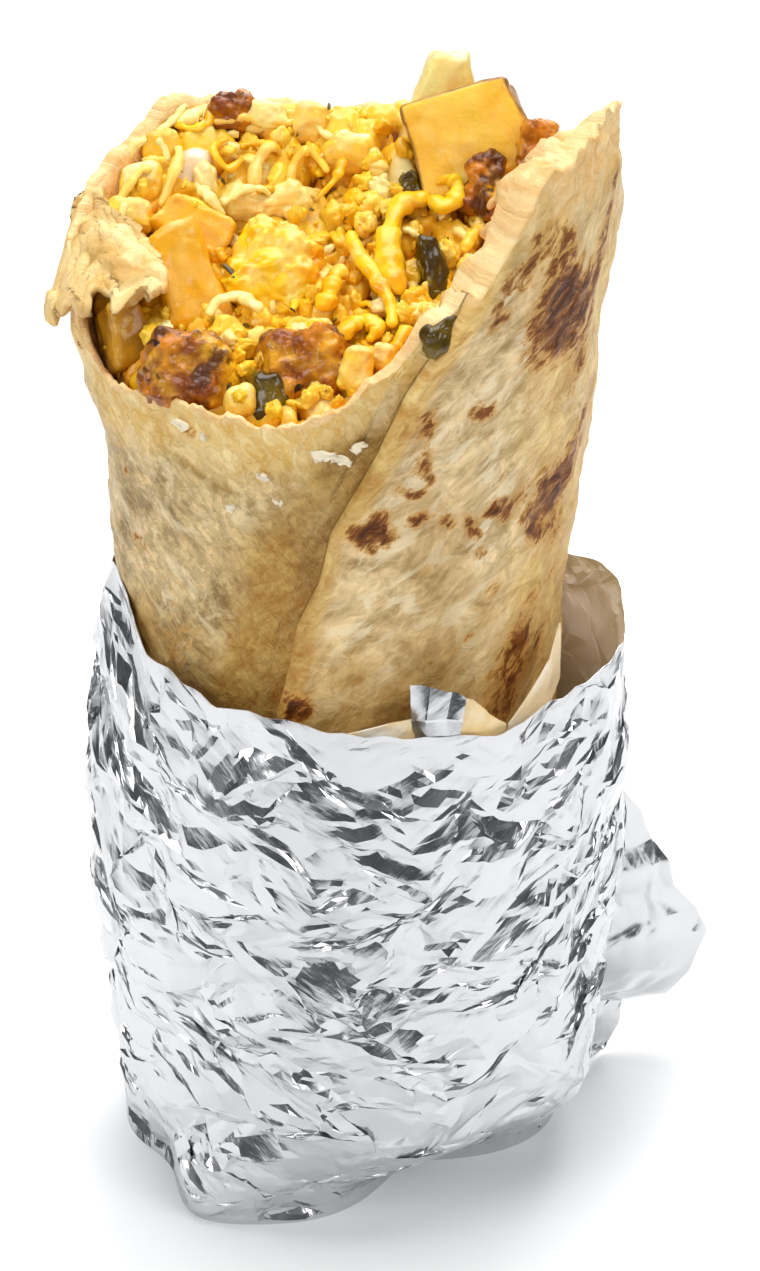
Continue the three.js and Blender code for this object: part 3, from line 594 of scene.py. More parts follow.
def tongue_point(u, v):
    """The cubic patch through the 16 points, its lower edge ragged, its face wavy."""
    teeth = 0.10 * noise(5 * u, 0, 0, 21) * ramp(0.5, 1, v)
    fine_teeth = 0.09 * noise(15 * u, 0, 0, 23) * ramp(0.75, 1, v)
    ragged = v + (teeth + fine_teeth)
    point = np.einsum("...i,...j,ijk->...k", cubic_weights(ragged), cubic_weights(u), TONGUE)
    point[..., 2] += 0.8 * noise(4 * u, 4 * v, 0, 22) + 0.35 * rough(10 * u, 8 * v, 0, 24)
    point[..., 2] += 0.8 * (1 - 2 * np.abs(noise(6 * u + 4 * v, 5 * v - 3 * u, 0, 27)))
    return point


def thin_sheet(place, across, up, thickness):
    """Both faces of a sheet of across times up points, the quads of its mesh, and its u and v.

    Each face is place(u, v) with half the thickness along the cross product of the two slopes. The quads are
    the front, the back turned round, and the four edges between them."""
    u, v = np.meshgrid(np.linspace(0, 1, across), np.linspace(0, 1, up))
    step = 0.01
    normal = np.cross(place(u + step, v) - place(u - step, v), place(u, v + step) - place(u, v - step))
    normal /= np.linalg.norm(normal, axis=-1, keepdims=True)
    half = thickness / 2 * normal
    front = grid_faces(up, across)
    number = np.arange(u.size).reshape(up, across)
    edge = np.concatenate([number[0], number[1:, -1], number[-1, -2::-1], number[-2:0:-1, 0]])
    after = np.roll(edge, -1)
    band = np.stack([after, edge, edge + u.size, after + u.size], -1)
    quads = [*front, *(front[:, ::-1] + u.size), *band]
    return np.stack([place(u, v) + half, place(u, v) - half]), quads, u, v


points, faces, u, v = thin_sheet(tongue_point, 60, 60, TONGUE_THICKNESS)
tongue = piece(
    "torn_tongue", points, faces, tortilla_finish.material, arc=TONGUE_SIZE * u, height=TONGUE_SIZE * v,
    by_mouth=0.85, greasy=ramp(0, 0.6, noise(5 * u, 5 * v, 0, 26)),
    inside=np.clip(0.2 + 0.6 * noise(6 * u, 6 * v, 0, 25), 0, 1),
)
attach(tongue, "root")
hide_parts("tortilla")

# Small flakes of the outer skin have peeled: angle, height, length, width, heading from straight up, curl.
FLAKES = [
    (-96.6, 137.6, 3.2, 1.8, 70, 1.3), (-92.5, 137.6, 2.6, 1.3, 100, 1.0), (-87.6, 138.6, 2.2, 1.2, 40, 0.9),
    (-128.5, 138.6, 1.9, 1.6, -30, 0.9), (-124, 137.8, 1.4, 1.1, 20, 0.7), (-78, 101.2, 2.0, 1.2, 60, 0.7),
    (-110, 133.5, 1.8, 0.9, 80, 0.6), (-104, 129.5, 1.4, 0.8, -60, 0.5), (-118, 127, 1.8, 0.8, 50, 0.5),
]
FLAKE_THICKNESS = 0.45
ROLL_RADIUS = 33
points, faces = [], []
for number, (angle, z, length, width, heading, curl) in enumerate(FLAKES):

    def flake_point(u, v):
        """Skin that leaves the roll with the square of v and narrows to a ragged tip."""
        across = (u - 0.5) * width * (1 - 0.6 * v) + 0.4 * noise(5 * u, 4 * v, number, 28)
        away, upward = on_turned_axes(across, v * length, heading)
        return roll_point(angle + np.degrees(away / ROLL_RADIUS), z + upward, 0.2 + curl * v**2)

    flake, quads, u, v = thin_sheet(flake_point, 12, 10, FLAKE_THICKNESS)
    faces += [quad + 2 * u.size * number for quad in quads]
    points.append(flake)
flakes = piece("peeled_flakes", np.stack(points), faces, tortilla_finish.material, peeled=0.8)
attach(flakes, "root")

# ---- Egg and cheese heap ----
# Scrambled egg and melted cheese fill the roll. The heap is low at the front and high at the back, and its
# lumps, crumbs and shreds lie loose at the mouth.


def filling_height(x, y):
    """A plane that rises to the back, with a step at the back and two round swellings at the back left."""
    swellings = 6 * bell(np.hypot(x + 30, y - 17), 0, 13) + 1.5 * bell(np.hypot(x + 14, y - 20), 0, 13)
    return 150 + 0.06 * x + 0.32 * y + 4 * ramp(14, 28, y) + swellings


def cells(x, y, seed):
    """Distance to the nearest of points scattered one to each unit square."""
    nearest = np.full(np.shape(x), 9.0)
    i, j = np.floor(x), np.floor(y)
    for a in (-1, 0, 1):
        for b in (-1, 0, 1):
            p, q = i + a, j + b
            away = np.hypot(p + hashed(p, q, seed) - x, q + hashed(p, q, seed + 7) - y)
            nearest = np.minimum(nearest, away)
    return nearest


def scattered(x, y, size, length, low, high, lift, seed):
    """The highest of rounded rods at (x, y), one to each square of the given size, and that rod's own tone.

    A rod has a random middle, heading, radius from low to high and lift; length 0 makes it a ball. Its height
    over its foot is the root of the radius squared less the squared distance to its middle line."""
    best, tone = np.full(np.shape(x), -9.0), np.zeros(np.shape(x))
    i, j = np.floor(x / size), np.floor(y / size)
    around_it = range(-2, 3) if length else range(-1, 2)
    for a in around_it:
        for b in around_it:
            p, q = i + a, j + b
            dx, dy = x - (p + hashed(p, q, seed)) * size, y - (q + hashed(p, q, seed + 1)) * size
            heading = 2 * np.pi * hashed(p, q, seed + 2)
            c, s = np.cos(heading), np.sin(heading)
            along_it = np.clip(dx * c + dy * s, -length / 2, length / 2)
            far2 = (dx - along_it * c) ** 2 + (dy - along_it * s) ** 2
            radius = low + (high - low) * hashed(p, q, seed + 3) ** 1.5
            dome = np.where(far2 < radius**2, np.sqrt(np.maximum(radius**2 - far2, 0)), -9)
            dome = dome + lift * hashed(p, q, seed + 4)
            tone = np.where(dome > best, hashed(p, q, seed + 5), tone)
            best = np.maximum(best, dome)
    return best, tone


MELT = 0.34  # mm over which neighbours run together
HEAP_KINDS = [  # square, rod length, least and greatest radius, lift, seed
    (5.0, 0, 2.0, 3.3, 0.9, 140), (4.6, 5.0, 0.75, 1.2, 2.0, 150), (2.5, 0, 0.6, 1.25, 1.9, 160),
]


def heap_layers(x, y):
    """Height over the heap's own slope, and the tone: bent balls and rods of three sizes, run together.

    They run together by adding up exp(height / MELT) and taking the logarithm; the tone is the mean with
    those weights, with painted light where the heap stands proud and painted shade in its hollows."""
    bent_x = x + 0.9 * noise(x / 3.1, y / 3.1, 0, 35) + 0.3 * noise(x / 1.1, y / 1.1, 0, 36)
    bent_y = y + 0.9 * noise(x / 3.1, y / 3.1, 0, 37) + 0.3 * noise(x / 1.1, y / 1.1, 0, 38)
    bed = -0.2 + 0.6 * noise(x / 4, y / 4, 0, 39)
    kinds = [(bed, 0.1), *(scattered(bent_x, bent_y, *numbers) for numbers in HEAP_KINDS)]
    weights = [np.exp(height / MELT) for height, _ in kinds]
    total = sum(weights)
    top = MELT * np.log(total) - 0.12
    tone = sum(weight * shade for weight, (_, shade) in zip(weights, kinds)) / total
    warts = (0.4 - cells(x / 1.15, y / 1.15, 33)) * ramp(-0.15, 0.4, noise(x / 5, y / 5, 0, 32))
    top = top + 0.34 * warts + 0.1 * rough(x / 1.1, y / 1.1, 0, 34)
    # The last term is painted light on the high points and painted shade in the hollows.
    return top, 0.15 + 0.34 * tone + 0.29 * np.clip((top - 1.4) / 1.3, -1.3, 1.3)


def heap_surface(x, y):
    """The filling's height less 2.4 mm for the loose pieces, 0.2 mm at the back edge, plus the layers."""
    back_edge = ramp(20, 26, np.hypot(x, y / ROLL_DEPTH_SHARE)) * ramp(0, 14, y)
    return filling_height(x, y) - 2.4 + 2.2 * back_edge + heap_layers(x, y)[0]


# The mouth is a square grid pressed into the roll's outline, and the walls hang from the grid's edge.
MOUTH_POINTS = 290  # on a side of the square
MOUTH_HALF_WIDTH, MOUTH_HALF_DEPTH = 30, 27
CORE_HEIGHTS = (126, 104, 60, ROLL_BOTTOM + ROLL_FLOOR + 0.35)  # of the rings under the mouth
line = np.linspace(-1, 1, MOUTH_POINTS)
a, b = np.meshgrid(line, line)
wide = np.abs(a) > np.abs(b)
reach = np.where(wide, a, b)
part = np.where(wide, b, a) / np.where(reach == 0, 1, reach)
turn = np.where(wide, np.pi / 4 * part, np.pi / 2 - np.pi / 4 * part)
turn = turn + np.where(reach < 0, np.pi, 0)
angles = np.degrees(turn)
edge_height = filling_height(MOUTH_HALF_WIDTH * np.cos(turn), MOUTH_HALF_DEPTH * np.sin(turn))
edge = roll_point(angles, edge_height, -wall_thickness(angles) - 0.4)
mouth = edge * np.abs(reach)[..., None]
mouth[..., 2] = heap_surface(mouth[..., 0], mouth[..., 1]) - 1.6 * ramp(0.92, 1, np.abs(reach))
number = np.arange(MOUTH_POINTS**2).reshape(MOUTH_POINTS, MOUTH_POINTS)
border = np.concatenate([number[0, :-1], number[:-1, -1], number[-1, :0:-1], number[:0:-1, 0]])
wall_angles = angles.ravel()[border]
walls = [roll_point(wall_angles, np.full_like(wall_angles, z), -wall_thickness(wall_angles) - 1.1)
         for z in CORE_HEIGHTS]
heap_points = np.concatenate([mouth.reshape(-1, 3), *walls, [walls[-1].mean(0)]])
rings = np.stack([border, *(MOUTH_POINTS**2 + np.arange(len(walls) * len(border)).reshape(len(walls), -1))])
after = np.roll(rings, -1, 1)
bands = np.stack([rings[:-1], rings[1:], after[1:], after[:-1]], -1).reshape(-1, 4)
floor_fan = np.stack([after[-1], rings[-1], np.full(len(border), len(heap_points) - 1)], -1)
heap_faces = [*grid_faces(MOUTH_POINTS, MOUTH_POINTS), *bands, *floor_fan]
heap_tone_and_shade = heap_layers(mouth[..., 0], mouth[..., 1])[1]
heap_tone_and_shade = np.append(heap_tone_and_shade, np.zeros(len(heap_points) - heap_tone_and_shade.size))


def moist(finish, colour, roughness, scatter, coat, normal, level=0.25):
    """Ends a moist food's finish in a Principled BSDF.

    Scatter is the share of the light that goes in, how far red, green and blue go, and a scale in mm; coat is
    the weight and the roughness of the wet film; level is the specular level."""
    share, radius, scale_mm = scatter
    weight, coat_roughness = coat
    finish.surface(
        Base_Color=colour, Roughness=roughness, Normal=normal, Specular_IOR_Level=level,
        Subsurface_Weight=share, Subsurface_Radius=radius, Subsurface_Scale=scale_mm * MM,
        Coat_Weight=weight, Coat_Roughness=coat_roughness,
    )


egg_finish = Finish("egg and cheese")
e = egg_finish
tone = e.attribute("tone") + (e.mottle(260, 4, 0.6) - 0.5) * 0.7
# The dark end of these tones paints the shade in the heap's hollows as well as darker egg.
egg_tones_and_shade = [(0.0, (0.34, 0.11, 0.002)), (0.12, (0.74, 0.31, 0.004)), (0.36, (0.97, 0.55, 0.012)),
             (0.64, (0.97, 0.63, 0.06)), (0.95, (0.98, 0.82, 0.38))]
egg_colour = e.node("ShaderNodeValToRGB", {"stops": egg_tones_and_shade}, {"Fac": tone})
egg_colour = e.blend(egg_colour, (0.50, 0.32, 0.02), e.step(e.mottle(75, 2), 0.60, 0.72) * 0.45)
moist(e, egg_colour, e.step(e.mottle(500, 2), 0.35, 0.65, 0.2, 0.38), (0.22, (1.0, 0.5, 0.04), 1.6),
      (0.3, 0.07), e.bump(e.mottle(1500, 4, 0.6), 0.25, 0.7))
heap = piece("egg_heap", heap_points, heap_faces, egg_finish.material, tone=heap_tone_and_shade)
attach(heap, "root")
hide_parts("egg_cheese_filling")


def cube_grid(steps):
    """The points of a cube's surface from -1 to 1, by the sines of even angles, and its quads."""
    line = np.sin(np.pi / 2 * np.linspace(-1, 1, steps + 1))
    s, t = np.meshgrid(line, line)
    sides = []
    for axis in range(3):
        for sign in (-1, 1):
            face = np.empty((*s.shape, 3))
            face[..., axis] = sign
            face[..., (axis + 1) % 3] = s if sign > 0 else t
            face[..., (axis + 2) % 3] = t if sign > 0 else s
            sides.append(face.reshape(-1, 3))
    points, numbers = np.unique(np.round(np.concatenate(sides), 6), axis=0, return_inverse=True)
    quads = [grid_faces(steps + 1, steps + 1, first=side * (steps + 1) ** 2) for side in range(6)]
    return points, numbers.reshape(-1)[np.concatenate(quads)]


def turned(points, turns):
    """Points turned about X, Y and Z by the columns of turns in degrees, the turn about Z first."""
    a, b, c = np.radians(np.moveaxis(np.asarray(turns, float), -1, 0))
    x, y, z = np.moveaxis(points, -1, 0)
    x, y = x * np.cos(c) - y * np.sin(c), x * np.sin(c) + y * np.cos(c)
    x, z = x * np.cos(b) + z * np.sin(b), -x * np.sin(b) + z * np.cos(b)
    y, z = y * np.cos(a) - z * np.sin(a), y * np.sin(a) + z * np.cos(a)
    return np.stack([x, y, z], -1)


def lumps(name, middles, sizes, stretch, seed, steps, material, bulges=0.38):
    """Many uneven balls as one mesh: each ball's reach goes up and down with noise, then it is stretched."""
    points, faces = cube_grid(steps)
    points /= np.linalg.norm(points, axis=1, keepdims=True)
    number = np.arange(len(middles))[:, None] + seed
    x, y, z = points.T
    reach = 1 + bulges * noise(1.9 * x + 7.1 * number, 1.9 * y, 1.9 * z, seed)
    reach += 0.14 * noise(5 * x + 3.3 * number, 5 * y, 5 * z, seed + 1)
    spin = np.stack([hashed(number, k, seed) for k in (1, 2, 3)], -1) * 360
    p = turned(points * reach[..., None] * stretch, np.broadcast_to(spin, (*reach.shape, 3)))
    p = p * sizes[:, None, None] + middles[:, None]
    all_faces = (faces[None] + len(points) * np.arange(len(middles))[:, None, None]).reshape(-1, 4)
    return piece(name, p, all_faces, material, tone=0.3 + 0.6 * hashed(number, 4, seed) ** 1.5)


def on_heap(n, seed, reach, lift):
    """Places spread by the golden angle over the mouth, shaken a little, on the heap's surface."""
    i = np.arange(n)
    far = reach * np.sqrt((i + 0.5) / n)
    turn = np.radians(137.508 * i + 20)
    x = far * np.cos(turn) + 1.2 * (hashed(i, 11, seed) - 0.5)
    y = 0.9 * far * np.sin(turn) + 1.2 * (hashed(i, 12, seed) - 0.5)
    return np.stack([x, y, heap_surface(x, y) + lift], -1)


LARGE_CURDS, CRUMBS = 120, 240
large = lumps("egg_curds", on_heap(LARGE_CURDS, 41, reach=28, lift=0.15),
              1.1 + 1.4 * hashed(np.arange(LARGE_CURDS), 5, 5) ** 2, (1.3, 1.0, 0.75), 42, 10,
              egg_finish.material, 0.26)
crumbs = lumps("egg_crumbs", on_heap(CRUMBS, 43, reach=30, lift=0.4),
               0.3 + 0.6 * hashed(np.arange(CRUMBS), 6, 6) ** 2, (1.6, 1.0, 0.8), 44, 5, egg_finish.material)
CURDS = np.array([  # the curds that stand out: place and radius
    [4.6, 16.4, 157.4, 2.2], [2.8, 17.4, 157.9, 1.9], [6.7, 16, 157.2, 1.7], [1.3, 14.9, 156.4, 1.9],
    [3.7, 13.5, 156.1, 2.0], [6.4, 12.8, 156, 1.7], [0.8, 12, 155.4, 1.6], [8.5, 13.3, 156.3, 1.5],
    [2.8, 9.8, 154.8, 1.8], [3.9, 20.4, 160, 1.9], [-27.6, -11.3, 146.6, 1.9], [-25.9, -10.4, 146.9, 1.5],
    [-16.6, -13.4, 146.8, 1.4], [-14.4, -15, 146.5, 1.5], [-15.5, -12.1, 147.2, 1.3],
    [-15.1, -16.5, 146, 1.2], [-14.2, -18.9, 145.2, 1.2], [-6.6, -12.6, 147.6, 1.5],
    [-4.6, -11.4, 148, 1.3], [-9.9, -27.0, 142.6, 1.3], [-14.9, -24.3, 143.2, 1.2], [-5, -25, 143.7, 1.3],
    [-2.8, -24.2, 144, 1.0], [8.6, -9.4, 149.4, 1.5], [10.2, -6.2, 150.4, 1.7], [11.8, -9.6, 149.6, 1.3],
    [14.8, 2.2, 153.4, 1.7], [-20.5, 24.5, 163.5, 2.3], [-23.5, 22.5, 163.2, 2.0],
    [-27.8, 16.2, 161.2, 1.9], [-30.6, 12.6, 159.4, 1.7], [-17.4, 20.8, 161.2, 1.8],
    [-14.6, 22.6, 162.2, 1.6], [-8.6, 22.2, 161.4, 1.8], [-3.0, 21.2, 160.6, 1.7],
    [-33.0, 4.5, 153.6, 1.7],
])
standing = lumps("standing_curds", CURDS[:, :3], CURDS[:, 3], (1.2, 1.0, 0.85), 45, 16,
                 egg_finish.material, 0.34)
for made in (large, crumbs, standing):
    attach(made, "root")


def curve_through(points, count):
    """A smooth curve through points: the Catmull-Rom cubic of each four neighbours."""
    p = np.array([points[0], *points, points[-1]], float)
    t = np.linspace(0, len(points) - 1 - 1e-6, count)
    i = t.astype(int)
    t = (t - i)[:, None]
    a, b, c, d = p[i], p[i + 1], p[i + 2], p[i + 3]
    return 0.5 * (2 * b + (c - a) * t + (2 * a - 5 * b + 4 * c - d) * t**2 + (3 * b - a - 3 * c + d) * t**3)


def strand_points(points, radius, seed, steps, sides, flat=0.75):
    """A tube along a curve: its girth closes at both ends by a root and swells with noise."""
    line = curve_through(points, steps)
    forward = np.gradient(line, axis=0)
    forward /= np.linalg.norm(forward, axis=1, keepdims=True) + 1e-9
    side = np.cross([0, 0, 1.0], forward) + 1e-6
    side /= np.linalg.norm(side, axis=1, keepdims=True)
    upward = np.cross(forward, side)
    s = np.linspace(-1, 1, steps)
    girth = radius * np.sqrt(np.clip(1 - s**6, 0.02, 1)) * (1 + 0.4 * noise(5 * s, seed, 0, 51))
    turn = np.linspace(0, 2 * np.pi, sides, endpoint=False)
    ring = side[:, None] * np.cos(turn)[:, None] + flat * upward[:, None] * np.sin(turn)[:, None]
    x, y = line[:, None, 0] / 1.3, line[:, None, 1] / 1.3
    bulge = 1 + 0.3 * noise(x, y, np.sin(turn)[None] * 1.5 + seed, 52)
    return line[:, None] + ring * (girth[:, None] * bulge)[..., None]


def strands(name, paths, radii, material, steps=26, sides=10, tones=None, key="tone"):
    """Several strands as one mesh, each with both ends closed."""
    points, faces = [], []
    size = steps * sides + 2
    for number, (path, radius) in enumerate(zip(paths, radii)):
        tube = strand_points(np.array(path, float), radius, number * 3.7, steps, sides)
        points += [*tube, tube[0].mean(0)[None], tube[-1].mean(0)[None]]
        faces += [*grid_faces(steps, sides, ring=True, first=size * number)]
        faces += closing_fans(steps, sides, first=size * number)
    shades = hashed(np.arange(len(paths)), 8, 8) if tones is None else tones
    return piece(name, np.concatenate(points), faces, material, **{key: np.repeat(shades, size)})


# Strings of the torn inner layers hang from the rim at the right: angle on the rim, then length and radius.
STRINGS = [(-64, 4, 0.9), (-59, 6, 1.0), (-54, 5, 0.8), (-50, 7, 1.1), (-46, 5, 0.9), (-42, 7.5, 1.0),
           (-37, 5, 0.8), (-30, 6, 0.9), (-22, 5, 0.8)]
paths = []
for angle, length, _ in STRINGS:
    s = np.linspace(0, 1, 5)
    below_the_rim = rim_height(np.full(5, angle)) - 2.2
    place = roll_point(angle + 5 * s * noise(angle, 0, 0, 53), below_the_rim, -2.6 - length * s)
    place[:, 2] -= 0.75 * length * s**2
    paths.append(place)
strings = strands("torn_strings", paths, [radius for *_, radius in STRINGS], tortilla_finish.material, 30, 10,
                  tones=[1] * len(STRINGS), key="inside")
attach(strings, "root")

# ---- Melted cheese ----
# Shredded yellow cheese, melted into loops, strands and sheets over the egg; a thick melted pad lies left of
# the middle with a pale half-melted pad behind it.
cheese_finish = Finish("melted cheese")
m = cheese_finish
cheese_colour = m.layers(
    m.blend((0.99, 0.60, 0.010), (0.92, 0.42, 0.002), m.step(m.mottle(150, 3), 0.4, 0.62)),
    ((0.98, 0.78, 0.28), m.step(m.attribute("tone"), 0.62, 0.95)),
    ((0.97, 0.74, 0.22), m.step(m.mottle(330, 4), 0.54, 0.72) * 0.35),
    # Painted light: the pads' upward faces are paled.
    ((0.98, 0.79, 0.30), m.attribute("pale") * 0.85),
)
moist(m, cheese_colour, 0.28, (0.28, (1.0, 0.5, 0.03), 1.8), (0.35, 0.05), m.bump(m.mottle(800, 3), 0.2, 0.5))
LOOPS = [  # places on the heap, x and y, then the lift, the radius and the tone
    ([(7.8, -6.2), (6.6, -2.1), (6.1, 3), (6.7, 7.8), (8.1, 11.3), (10.5, 13.1), (12.6, 12.8)],
     2.4, 1.7, 0.2),
    ([(12, 12.9), (14.3, 11), (16, 11.7), (16.5, 14.6), (15, 16.1), (13, 15.7)], 2.6, 1.35, 0.5),
    ([(0.5, 7.2), (1.4, 3.2), (3.2, -0.6), (5, -4.4), (6.5, -8.6), (6.6, -12.4)], 2.2, 1.25, 0.3),
    ([(-3.5, -7.8), (-2.3, -4.7), (-1.5, -1.5), (-0.3, 0.1)], 1.8, 1.3, 0.4),
    ([(6.8, -16.5), (8, -14.2), (9.2, -12)], 1.6, 0.95, 0.5),
    ([(-19.9, -8.7), (-18.8, -6.8), (-17.1, -6.1), (-15.4, -5.8), (-13.6, -7.1), (-12.1, -8.4)], 2.6, 1.0, 1),
    ([(-1, -13.5), (1, -11), (3.2, -10.4), (4.4, -12.2), (3.2, -14)], 1.4, 1.15, 0.4),
    ([(17, 3), (18.6, 6), (20.2, 7.5)], 1.4, 1.0, 0.7),
    ([(-25, 22), (-22, 24.5), (-19.4, 24.2)], 2.2, 1.3, 0.9),
    ([(3.3, 21.4), (4.6, 19.4), (4.4, 17.8)], 2.0, 1.25, 0.8),
]


def laid(path, lift):
    """A path of x and y laid on the heap, arched a little between its ends."""
    x, y = np.transpose(path)
    arch = np.sin(np.linspace(0, np.pi, len(path)))
    return np.stack([x, y, filling_height(x, y) + lift + 0.6 * arch], -1)


# Thin half-melted strands lie over the pieces at the back left.
NET = [  # x, y, heading, length
    (-31, 12, 40, 9), (-29, 19, -10, 8), (-25, 14, 75, 9), (-22, 21, 20, 10), (-19, 16, -35, 9),
    (-17, 23, 5, 11), (-13, 18, 60, 8), (-11, 24, -15, 10), (-7, 19, 30, 9), (-4, 23, -50, 8),
    (-26, 22, 50, 9), (-15, 12, 15, 8), (-21, 11, -60, 7), (-1, 17, 70, 9), (-9, 14, -20, 8),
    (-33, 7, 80, 7),
]
net_paths = []
for number, (x, y, heading, length) in enumerate(NET):
    s = np.linspace(-0.5, 0.5, 7)
    bend = np.radians(heading) + 3 * s * noise(number, 1.5, 0, 54)
    path_x, path_y = x + length * s * np.cos(bend), y + length * s * np.sin(bend)
    lift = 3.4 + 1.2 * noise(path_x / 2.5, path_y / 2.5, 0, 56) - 5 * s**2
    net_paths.append(np.stack([path_x, path_y, filling_height(path_x, path_y) + lift], -1))
number = np.arange(len(NET))
cheese_net = strands("cheese_net", net_paths, 0.55 + 0.35 * hashed(number, 4, 4), cheese_finish.material,
                     40, 10, tones=0.55 + 0.5 * hashed(number, 4, 5))
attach(cheese_net, "root")
loop_paths, lifts, radii, tones = zip(*LOOPS)
loops = strands("cheese_loops", map(laid, loop_paths, lifts), radii, cheese_finish.material, 60, 16, tones)

# Short bent shreds lie all over the mouth, each halfway between the heap's own bumps and a plain arch.
SHREDS = 44
heading, bend, length, girth = [hashed(np.arange(SHREDS)[:, None], 9, k) for k in (1, 2, 3, 4)]
s = np.linspace(-0.5, 0.5, 5)
turn = 2 * np.pi * heading + 2.4 * (bend - 0.5) * s
x, y, z = on_heap(SHREDS, 47, reach=28, lift=0.7).T[..., None]
reach = (3.5 + 5 * length) * s
x, y = x + reach * np.cos(turn), y + reach * np.sin(turn)
paths = np.stack([x, y, heap_surface(x, y) * 0.3 + z * 0.7 + 0.5 - 1.6 * s**2], -1)
shreds = strands("cheese_shreds", paths, 0.5 + 0.4 * girth[:, 0], cheese_finish.material, 16, 8)
for made in (loops, shreds):
    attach(made, "root")


def cut_piece(name, size, at, turn, material, round_share, narrow=0.15, steps=22, relief=0.25, lumpy=0.0,
              skin=(), tone=0.5, top_light_amount=0.0):
    """A cut cube: a box with rounded edges that narrows upwards, skewed, sunk and roughened by noise.

    The rounded box is each point of the plain box pulled in by the rounding and pushed out along its normal.
    skin names the faces that keep their peel, each as an axis number and a side; the faces that look up are
    paled as painted light from above."""
    size = np.array(size, float)
    seed = at[0]
    unit, quads = cube_grid(steps)
    half = size / 2
    rounding = round_share * size.min()
    p = unit * half
    core = np.clip(p, rounding - half, half - rounding)
    normal = (p - core) / np.linalg.norm(p - core, axis=1, keepdims=True)
    p = core + rounding * normal
    u, v, w = (p / size).T
    lean, skew = 0.2 * (hashed(seed, 2, 0) - 0.5), 0.5 * (hashed(seed, 3, 0) - 0.5)
    x, y, z = p.T
    p = np.stack([x * (1 - narrow * v) + lean * z, y * (1 + skew * u), z * (1 + 0.24 * v)], 1)
    p = p * (1 - 0.05 * (1 + noise(2.5 * u + seed, 2.5 * v, 2.5 * w, seed)))[:, None]
    x, y, z = p.T
    swell = relief * rough(x / 4 + seed, y / 4, z / 4, 81)
    swell += 0.3 * relief * noise(x / 0.9, y / 0.9, z / 0.9 + seed, 82)
    if lumpy:
        near = cells(x / 2.4 + seed, y / 2.4 + z / 2.9, 83)
        swell += lumpy * (0.5 - near**2) + 0.5 * lumpy * rough(x / 1.2, y / 1.2, z / 1.2, 84)
    p = p + normal * swell[:, None]
    peel = np.zeros(len(p))
    for axis, side in skin:
        peel = np.maximum(peel, ramp(0.40, 0.49, (side * unit * (half - 0.5 * rounding) / size)[:, axis]))
    place = turned(p, np.broadcast_to(turn, p.shape)) + at
    upward = turned(normal, np.broadcast_to(turn, p.shape))[:, 2]
    # Faces that look up are paled: painted light from above.
    pale = top_light_amount * ramp(0.55, 1.0, upward + 0.6 * rough(x / 3 + seed, y / 3, z / 3, 85, 2))
    made = piece(name, place, quads, material, peel=peel, tone=tone, pale=pale)
    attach(made, "root")
    return made


PADS = [  # node, size, place, turn, rounding, lumps, tone
    ("melted_cheese_1", (14.5, 14, 9), (-10.5, 1.5, 150.5), (42, -4, -24), 0.4, 0.7, 0.45),
    ("melted_cheese_2", (12.5, 4.5, 6), (-12, 14.5, 156), (40, 0, 6), 0.44, 0.4, 0.85),
]
for node, size, at, turn, round_share, lumpy, tone in PADS:
    pad = cut_piece(node + "_pad", size, at, turn, cheese_finish.material, round_share, steps=48, relief=1.1,
                    lumpy=lumpy, tone=tone, top_light_amount=0.45)
    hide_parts(node)

# ---- Potato ----
# Diced potato, boiled soft and then fried: yellow inside with a moist skin of oil, golden at the edges, with
# brown peel left on some sides.
potato_finish = Finish("fried potato")
p = potato_finish
peel_colour = p.blend((0.45, 0.20, 0.06), (0.20, 0.08, 0.035), p.step(p.mottle(400, 3), 0.4, 0.6))
flesh = p.layers(
    p.blend((1.0, 0.83, 0.30), (0.98, 0.62, 0.05), p.step(p.attribute("tone"), 0.0, 0.45)),
    ((0.92, 0.45, 0.004), p.step(p.attribute("tone"), 0.45, 0.8)),
    # Near brown above tone 0.8: mostly painted shade, for the dice that lies under the torn tongue.
    ((0.30, 0.13, 0.01), p.step(p.attribute("tone"), 0.8, 1.0)),
    ((0.90, 0.43, 0.008), p.step(p.mottle(95, 3), 0.42, 0.60) * 0.5),
    ((0.97, 0.74, 0.22), p.step(p.mottle(210, 5, 0.65), 0.50, 0.68) * 0.45),
    # Painted light: the upward faces of the dice are paled.
    ((0.98, 0.83, 0.42), p.attribute("pale") * 0.8),
    ((0.74, 0.34, 0.015), p.step(p.mottle(140, 3), 0.58, 0.76) * 0.5),
    (peel_colour, p.step(p.attribute("peel"), 0.2, 0.9) * 0.85),
)
moist(p, flesh, p.step(p.mottle(300, 3), 0.35, 0.65, 0.26, 0.42), (0.24, (1.0, 0.5, 0.04), 2.0),
      (0.32, 0.06), p.bump(p.mottle(1100, 4, 0.6), 0.25, 0.7), level=0.2)
